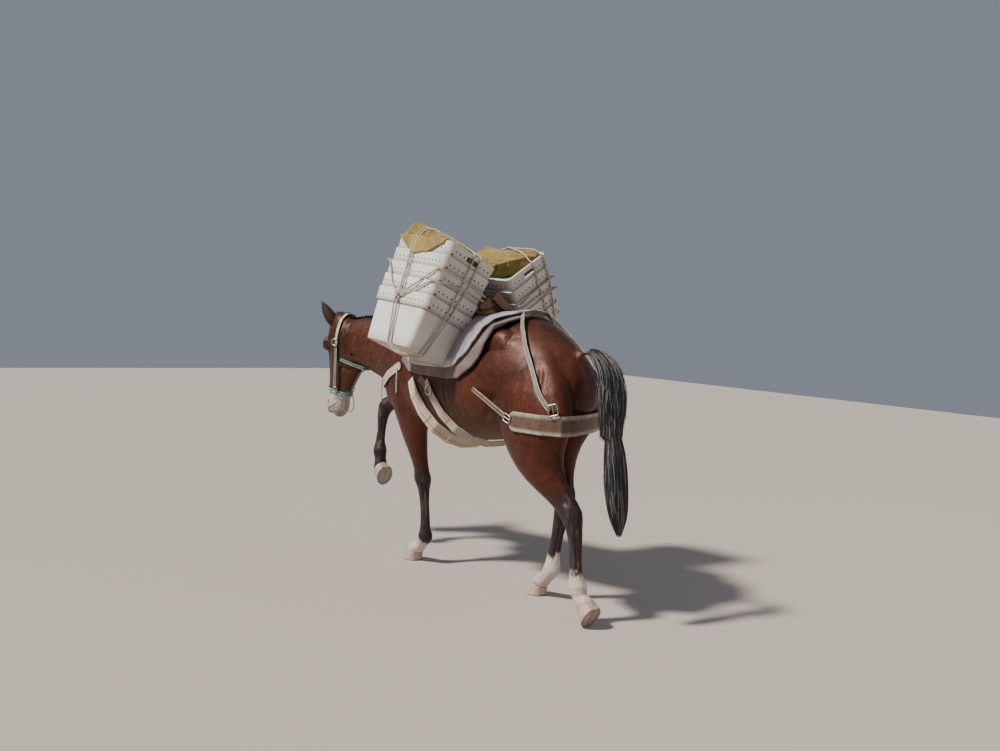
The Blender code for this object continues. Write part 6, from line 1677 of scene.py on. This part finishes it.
def makeLashing(side, node, load):
    start = (knot[0], ropeY + 0.006, knot[1])
    runs = []
    for way in (-1, 1):
        low = slingLow(way, *slings[side])
        reach = 0.078 + way * 0.014
        over = overLoad(side, load, (0.012 - ropeX, low[-1][1]), (reach, ropeY - 0.012))
        runs.append(low + over + [(reach, ropeY - ropeOff + ropeTurn, stackTop + ropeTurn),
                                  (reach, ropeY, stackTop - 0.004), (0.030 + way * 0.010, ropeY, 0.385),
                                  (knot[0] + way * 0.006, ropeY + 0.006, knot[1] + 0.008)])
        runs.append([start, (-0.120, ropeY, 0.330 + way * 0.022),
                     (-ropeX + 0.030, ropeY, 0.385 + way * 0.034),
                     (-ropeX + ropeOff - ropeTurn, ropeY - ropeOff + ropeTurn, 0.388 + way * 0.034),
                     (-ropeX, ropeY - 0.030, 0.390 + way * 0.034), (-ropeX, 0.0, 0.405 + way * 0.020),
                     (-ropeX, -ropeY + 0.010, 0.400 + way * 0.012)])
    runs.append([start, (0.102, ropeY, 0.302), (ropeX - 0.030, ropeY, 0.420),
                 (ropeX - ropeOff + ropeTurn, ropeY - ropeOff + ropeTurn, 0.425),
                 (ropeX, ropeY - 0.030, 0.430), (ropeX, 0.040, 0.500)])
    pieces = []
    for run in runs:
        line = np.array(run) * (1, side, 1)
        line = rounded(resample(onStack(side, line), 0.0035), 4)
        pieces.append(tube("strand", line, ropeRadius, 12, 3, 260.0))
    # the knot is three loops wound over one another
    t = np.linspace(0, 2 * np.pi, 150)[:-1]
    wound = np.stack([knot[0] + 0.0125 * (np.sin(t) + 0.9 * np.sin(2 * t)) / 1.6,
                      ropeY + 0.010 + 0.0050 * np.sin(3 * t),
                      knot[1] + 0.0165 * (np.cos(t) - 0.9 * np.cos(2 * t)) / 1.6], -1)
    pieces.append(tube("wound", onStack(side, wound * (1, side, 1)), ropeRadius, 12, 3, 260.0, True))
    made = joined(node + "_rope", pieces)
    made.data.shade_smooth()
    return dress(made, creamRope, "rope", node)


tubLook = Finish("white_plastic", None, 0.42, Specular_IOR_Level=0.4)
dust = tubLook.ramp(tubLook.speckle(5.0, 5.0), [(0.42, 0.0), (0.72, 0.45)])
scuff = tubLook.speckle(1.0, 4.0, tubLook.place((26, 26, 180)))
tubLook.put("Base Color", tubLook.mix(dust, tubLook.tint(), (0.50, 0.45, 0.37)))
tubLook.bump(scuff, 0.12, 0.0008)
# painted shade: the black of the tub holes
holeLook = Finish("dark_hole", (0.03, 0.03, 0.03), 0.9)


def clothLook(name, colour, shade, weave):
    look = Finish(name, None, 0.88, Sheen_Weight=0.15)
    threads = look.threads(weave, 0.6)
    stain = look.speckle(9.0, 5.0)
    look.put("Base Color", look.mix(look.ramp(stain, [(0.35, 0.0), (0.70, 1.0)]), colour, shade))
    look.bump(stain, 0.25, 0.004, look.bump(threads, 0.25, 0.0004))
    return look


canvasLook = clothLook("khaki_canvas", (0.33, 0.225, 0.060), (0.17, 0.115, 0.032), 330.0)
greenLook = clothLook("green_sack", (0.055, 0.20, 0.035), (0.025, 0.10, 0.02), 260.0)
for sideName, side in (("left", 1), ("right", -1)):
    for level in range(tubs["count"]):
        makeTub("tub_%s_%d" % (sideName, level + 1), level, side)
    makeDots(side)
makeLoad("manty_left", canvasLook, "canvas", 1, 0.0260, 31)
makeLoad("manty_right", canvasLook, "canvas", -1, 0.0160, 32)
makeLoad("sack_right", greenLook, "green_cloth", -1, 0.0050, 33)
makeLashing(1, "lashing_left", ["manty_left", "tub_left_5"])
makeLashing(-1, "lashing_right", ["manty_right", "sack_right", "tub_right_5"])
print("tubs, loads and lashings made")


# Pad and blanket, from their solids refined

def refined(node, voxel, rounds):
    made = remeshed(node, "_fine", voxel)
    soften(made, 0.8, rounds)
    made.data.shade_smooth()
    return made


def woolLook(name):
    return tintLook(name, 0.95, 420.0, 0.0010, Sheen_Weight=0.25, Sheen_Roughness=0.5)


pad = {"voxel": 0.0062, "rounds": 3, "dent": 0.0007, "colour": (0.165, 0.118, 0.108)}
blanket = {
    "voxel": 0.0042, "rounds": 2, "flat": (0.72, 0.84), "fold": 0.0095, "axisHeight": 1.0,
    "pale": (0.56, 0.52, 0.50), "wool": (0.23, 0.20, 0.25),
}


def makePad(values):
    made = refined("saddle_pad", values["voxel"], values["rounds"])
    points = coordsOf(made)
    setCoords(made, points - normalsOf(made) * (values["dent"] * (1 + noise(points, 0.03, 41)))[:, None])
    colour = np.tile(values["colour"], (len(points), 1)) * (1 + 0.35 * noise(points, 0.05, 42))[:, None]
    paint(made, np.clip(colour, 0.01, 1))
    dress(made, woolLook("brown_felt"), "felt", "saddle_pad")


# Folds run down the cloth from the back, and fade towards its rear.
def makeBlanket(values):
    made = refined("saddle_blanket", values["voxel"], values["rounds"])
    points = coordsOf(made)
    x, z = points[:, 0], points[:, 2]
    outwards = unit(points * (0, 1, 0) + up * (z - values["axisHeight"])[:, None] - left * shift[1])
    slope = np.stack([x, np.arctan2(points[:, 1] - shift[1], z - values["axisHeight"]) * 0.3, 0 * x], -1)
    fold = ((1 - np.abs(noise(slope, (0.060, 0.20, 1), 46))) ** 3 * 0.6
            + (1 - np.abs(noise(slope, (0.022, 0.10, 1), 47))) ** 2 * 0.4)
    fold = fold * (1 - softStep(x, -0.30, -0.21))
    setCoords(made, points + outwards * (values["fold"] * fold)[:, None])
    hem = 1 - softStep(z, 1.150, 1.185)
    rearEdge = 1 - softStep(x, -0.49, -0.43)
    stripe = softStep(noise(points, (0.05, 0.4, 0.4), 44), 0.2, 0.5) * 0.25
    # pale at the hem, the rear edge and in stripes, and paler on the fold ridges as a painted highlight
    share = np.clip(np.maximum(hem, rearEdge) + stripe + 0.35 * fold, 0, 1)
    colour = blend(np.tile(values["wool"], (len(points), 1)), values["pale"], share)
    paint(made, np.clip(colour, 0.01, 1))
    dress(made, woolLook("grey_wool"), "blanket", "saddle_blanket")
    area = sum(face.area for face in made.data.polygons) / 2
    print("blanket's cloth area", round(area, 3), "m2 against", round(math.prod(values["flat"]), 3))


makePad(pad)
makeBlanket(blanket)


# Straps: rays towards each strap's own middle find its solid, and a rounded profile is laid there

quarterStrap = ((-0.550, 0, 0.985), (-0.382, 0, 0.924), 0.023, 0.0036, (0.125, 0.074, 0.046),
                (0.46, 0.38, 0.29), "leather")
# node: middle, normal, width, thickness, colour, edge colour and slot
straps = {
    "breeching": ((-0.700, 0, 0.9165), (0, 0, 1), 0.094, 0.0045, (0.115, 0.066, 0.042),
                  (0.33, 0.26, 0.19), "leather"),
    "hip_strap": ((-0.790, 0, 1.150), (0.742, 0, -0.670), 0.029, 0.0035, (0.22, 0.185, 0.155),
                  (0.42, 0.37, 0.31), "webbing"),
    "quarter_strap_left": quarterStrap,
    "quarter_strap_right": quarterStrap,
    "breast_collar": ((0.300, 0, 1.100), (-0.436, 0, -0.900), 0.043, 0.0045, (0.46, 0.38, 0.29),
                      (0.58, 0.50, 0.40), "webbing"),
}
# node: middle, normal, width, thickness and colour, in the head's frame
headStraps = {
    "halter_headstall": ((-0.052, 0, -0.200), (0.998, 0, 0.057), 0.021, 0.0028, (0.040, 0.16, 0.115)),
    "halter_noseband": ((-0.030, 0, -0.445), (0.168, 0, -0.986), 0.023, 0.0028, (0.075, 0.27, 0.24)),
    "halter_throat": ((-0.120, 0, -0.252), (-0.233, 0, 0.972), 0.019, 0.0028, (0.045, 0.13, 0.085)),
    "halter_jaw_strap": ((-0.060, 0, -0.360), (0, -1, 0), 0.019, 0.0028, (0.035, 0.12, 0.085)),
}
# node: middle, normal, width, count of cords and colour
cinches = {
    "cinch_front": ((0.185 - 0.18 * 0.842, 0, 0.88), (-1, 0, 0.842), 0.080, 13, (0.60, 0.52, 0.40)),
    "cinch_rear": ((0.015 - 0.18 * 0.983, 0, 0.88), (-1, 0, 0.983), 0.050, 8, (0.56, 0.47, 0.36)),
}


# The strap's outer surface on a fan of angles: its middle line as radius over angle, and where it is.
def strapArc(node, centre, normal, count=360):
    tree = treeOf(node)
    first = unit(np.cross(normal, up) if abs(normal[2]) < 0.9 else np.cross(normal, left))
    second = np.cross(normal, first)
    angle = 2 * np.pi * np.arange(count) / count
    ways = first * np.cos(angle)[:, None] + second * np.sin(angle)[:, None]
    reach = np.full(count, np.nan)
    for k, way in enumerate(ways):
        hit = tree.ray_cast(Vector(centre + way * 0.9), Vector(-way), 0.9)[0]
        if hit is not None:
            reach[k] = np.linalg.norm(np.array(hit) - centre)
    held = ~np.isnan(reach)
    # starts after the widest gap, so that the row runs from one end of the strap to the other
    if held.all():
        order = np.arange(count)
    else:
        gaps = np.flatnonzero(~held)
        runs = np.split(gaps, np.flatnonzero(np.diff(gaps) > 1) + 1)
        if len(runs) > 1 and runs[0][0] == 0 and runs[-1][-1] == count - 1:
            runs[0] = np.concatenate([runs.pop(), runs[0]])
        widest = max(runs, key=len)
        order = (widest[-1] + 1 + np.arange(count)) % count
        order = order[:count - len(widest)]
    row = reach[order]
    good = ~np.isnan(row)
    row = np.interp(np.arange(len(row)), np.flatnonzero(good), row[good])
    for _ in range(6):
        row[1:-1] = np.maximum(row[1:-1], row[1:-1] * 0.5 + (row[:-2] + row[2:]) * 0.25)
    return ways[order], row


def strapLine(node, centre, normal, off):
    ways, row = strapArc(node, centre, normal)
    return resample(centre + ways * (row + off)[:, None], 0.004)


# The jaw strap lies on the jaw, and its ends reach the throat strap and the noseband.
def onJaw(line):
    first = line[0] + (line[0] - line[4]) * 1.1
    last = line[-1] + (line[-1] - line[-5]) * 1.4
    line = resample(np.vstack([first, line, last]), 0.004)
    found = [skinTree.find_nearest(Vector(p))[:2] for p in line - shift]
    near = np.array([f[0] + f[1] * 0.0025 for f in found]) + shift
    return resample(rounded(near, 8), 0.004)


def makeStrap(node, centre, normal, width, thick, colour, edge, slotName, look):
    normal = unit(normal)
    line = strapLine(node, centre, normal, -thick / 2)
    if node == "halter_jaw_strap":
        line = onJaw(line)
    along = unit(np.gradient(line, axis=0))
    out = np.cross(along, normal)
    out *= np.sign((out * (line - centre)).sum(1))[:, None]
    far = np.linspace(0, 1, len(line)) * stepLengths(line).sum()
    ends = np.minimum(np.minimum(far, far[-1] - far) / (width * 0.45), 1)
    half = width / 2 * np.sqrt(np.clip(1 - (1 - ends) ** 2.4, 0.16, 1))
    across = np.array([-1, -0.97, -0.86, -0.82, -0.5, 0, 0.5, 0.82, 0.86, 0.97, 1])
    high = np.array([0.25, 0.85, 1.0, 0.86, 0.92, 0.95, 0.92, 0.86, 1.0, 0.85, 0.25])
    ring = np.concatenate([across, across[::-1]])
    rise = np.concatenate([high, -high[::-1]]) * thick / 2
    aside = normal * (half[:, None] * ring[None])[..., None]
    points = line[:, None] + aside + out[:, None] * rise[None, :, None]
    made = loft(node + "_strap", points)
    rows = len(line)
    edging = np.tile(np.abs(ring) > 0.95, rows)
    seam = np.tile(np.abs(np.abs(ring) - 0.84) < 0.03, rows)
    stitch = seam & (np.repeat(np.arange(rows), len(ring)) % 2 == 0)
    colours = np.tile(colour, (rows * len(ring), 1))
    colours = blend(colours, edge, 0.85 * edging)
    colours = np.where(stitch[:, None], (0.62, 0.56, 0.46), colours)
    colours = np.vstack([colours, [colour, colour]])
    places = coordsOf(made)
    if node == "halter_headstall":                      # cream above the slides, green below
        above = softStep(toHead(places - shift)[:, 2], -0.150, -0.140)
        colours = blend(colours, (0.56, 0.49, 0.37), above)
    paint(made, np.clip(colours * (1 + 0.30 * noise(places, 0.02, 51))[:, None], 0.01, 1))
    return dress(made, look, slotName, node)


def makeCinch(node, centre, normal, width, cords, colour):
    normal = unit(normal)
    line = strapLine(node, centre, normal, -0.0036)
    pieces, colours = [], []
    share = np.linspace(-1, 1, cords)
    far = np.linspace(-1, 1, len(line))
    fan = 0.55 + 0.45 * (1 - np.abs(far) ** 6)          # the cords draw together at both ends
    for k in range(cords):
        route = line + normal * (share[k] * (width / 2 - 0.003) * fan)[:, None]
        pieces.append(tube("cord", route, width / cords * 0.45, 8, 2, 420.0))
        red = abs(k - cords * 0.30) < 0.6 and "front" in node
        tone = (0.42, 0.06, 0.045) if red else colour
        colours.append(np.tile(tone, (len(pieces[-1].data.vertices), 1)) * (1 + 0.30 * math.sin(9.1 * k)))
    for place in np.linspace(0.10, 0.90, 7):                # bars woven across hold the cords flat
        at = int(place * (len(line) - 1))
        out = unit(line[at] - centre)
        t = np.linspace(-1, 1, 15)[:, None]
        bar = line[at] + normal * t * (width / 2 - 0.001) * fan[at] + out * 0.0022
        pieces.append(tube("bar", bar, 0.0026, 8, 2, 420.0))
        colours.append(np.tile(colour, (len(pieces[-1].data.vertices), 1)) * 0.85)
    made = joined(node + "_cords", pieces)
    made.data.shade_smooth()
    paint(made, np.clip(np.vstack(colours), 0.01, 1))
    return dress(made, cordLook, "rope", node)


# A flat node's middle, its normal, two directions in its plane and its points.
def fittedPlane(node):
    points = coordsOf(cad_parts[node])
    centre = points.mean(0)
    ways = np.linalg.eigh(np.cov((points - centre).T))[1]
    return centre, ways[:, 0], ways[:, 1], ways[:, 2], points


def makeRing(node, look, slotName, bar):
    centre, normal, first, second, points = fittedPlane(node)
    flat = (points - centre) - normal * ((points - centre) @ normal)[:, None]
    radius = np.linalg.norm(flat, axis=1).max() - bar
    t = np.linspace(0, 2 * np.pi, 73)[:-1]
    line = centre + (first * np.cos(t)[:, None] + second * np.sin(t)[:, None]) * radius
    made = tube(node + "_round", line, bar, 16, closed=True)
    return dress(made, look, slotName, node)


buckles = {"hip": (0.022, 0.025), "quarter": (0.018, 0.022), "corner": 0.006, "bar": 0.0030}


# A square frame with round corners, and its tongue across the middle.
def makeBuckle(kind, sideName, look, values):
    node = kind + "_buckle_" + sideName
    centre, normal, first, second, points = fittedPlane(node)
    off = points - centre
    reach = np.hypot(off @ first, off @ second)
    corner = np.arctan2(off @ second, off @ first)[np.argmax(reach)]
    wide, high = values[kind]
    tilt = corner - math.atan2(high, wide)
    a = first * math.cos(tilt) + second * math.sin(tilt)
    b = second * math.cos(tilt) - first * math.sin(tilt)
    outline = roundedRing(wide, high, 0.0, values["corner"])
    line = centre + a * outline[:, [0]] + b * outline[:, [1]]
    tongue = centre + b * np.linspace(-high, high, 20)[:, None]
    bar = values["bar"]
    bars = [tube("frame", line, bar, 12, closed=True), tube("tongue", tongue, bar * 0.7, 10)]
    made = joined(node + "_frame", bars)
    made.data.shade_smooth()
    return dress(made, look, "steel", node)


def makeChain(node):
    side = [(-0.047, 0.072, -0.456), (-0.066, 0.066, -0.500), (-0.092, 0.046, -0.540)]
    route = side + [(-0.108, 0.0, -0.562)] + [(x, -y, z) for x, y, z in side[::-1]]
    line = resample(fromHead(smoothRows(route, 12)) + shift, 0.0085)
    along = unit(np.gradient(line, axis=0))
    t = np.linspace(0, 2 * np.pi, 25)[:-1]
    links = []
    for k, (spot, way) in enumerate(zip(line, along)):
        side = unit(np.cross(way, up + 0.2 * left))
        over = np.cross(way, side)
        flat = side if k % 2 else over
        link = spot + way * (np.cos(t) * 0.0062)[:, None] + flat * (np.sin(t) * 0.0034)[:, None]
        links.append(tube("link", link, 0.0011, 8, closed=True))
    made = joined(node + "_links", links)
    made.data.shade_smooth()
    return dress(made, steelLook, "steel", node)


# A CAD node shown as it is, with its own finish.
def finish(node, look):
    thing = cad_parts[node]
    thing.data.materials.clear()
    thing.data.materials.append(look.material)


leatherLook = tintLook("harness_leather", 0.55, 120.0, 0.0008)
webLook = tintLook("flat_webbing", 0.85, 520.0, 0.0006, Sheen_Weight=0.2)
greenWeb = tintLook("green_webbing", 0.70, 520.0, 0.0006, Sheen_Weight=0.2)
cordLook = tintLook("cinch_cord", 0.88, 480.0, 0.0006, Sheen_Weight=0.2)
steelLook = Finish("worn_steel", None, 0.30, 1.0)
steelLook.put("Base Color", steelLook.ramp(steelLook.speckle(60.0), [(0.3, 0.34), (0.7, 0.66)]))
brassLook = Finish("dull_brass", None, 0.36, 1.0)
brassTones = [(0.3, (0.52, 0.42, 0.22)), (0.7, (0.78, 0.68, 0.42))]
brassLook.put("Base Color", brassLook.ramp(brassLook.speckle(50.0), brassTones))
woodLook = Finish("oiled_wood", None, 0.50)
grain = woodLook.speckle(1.0, 5.0, woodLook.place((14, 90, 90)))
woodLook.put("Base Color", woodLook.ramp(grain, [(0.30, (0.11, 0.045, 0.020)), (0.70, (0.30, 0.14, 0.06))]))
woodLook.bump(grain, 0.3, 0.0010)
finish("packsaddle", woodLook)
latigo = refined("latigo_left", 0.0015, 2)
paint(latigo, np.tile((0.20, 0.11, 0.065), (len(latigo.data.vertices), 1)))
dress(latigo, leatherLook, "leather", "latigo_left")
for node, (centre, normal, width, thick, colour, edge, slotName) in straps.items():
    look = leatherLook if slotName == "leather" else webLook
    makeStrap(node, np.array(centre) + shift, normal, width, thick, colour, edge, slotName, look)
for node, (centre, normal, width, thick, colour) in headStraps.items():
    makeStrap(node, fromHead(centre) + shift, headTurn @ np.array(normal), width, thick, colour,
              tuple(1.15 * c for c in colour), "green_webbing", greenWeb)
for node, (centre, normal, width, cords, colour) in cinches.items():
    makeCinch(node, np.array(centre) + shift, normal, width, cords, colour)
for sideName in ("left", "right"):
    makeRing("halter_ring_" + sideName, steelLook, "steel", 0.0028)
    makeRing("halter_slide_" + sideName, brassLook, "brass", 0.0030)
    makeBuckle("hip", sideName, steelLook, buckles)
    makeBuckle("quarter", sideName, steelLook, buckles)
makeRing("cinch_ring_left", steelLook, "steel", 0.0040)
makeChain("chin_chain")
print("pad, blanket and straps made")
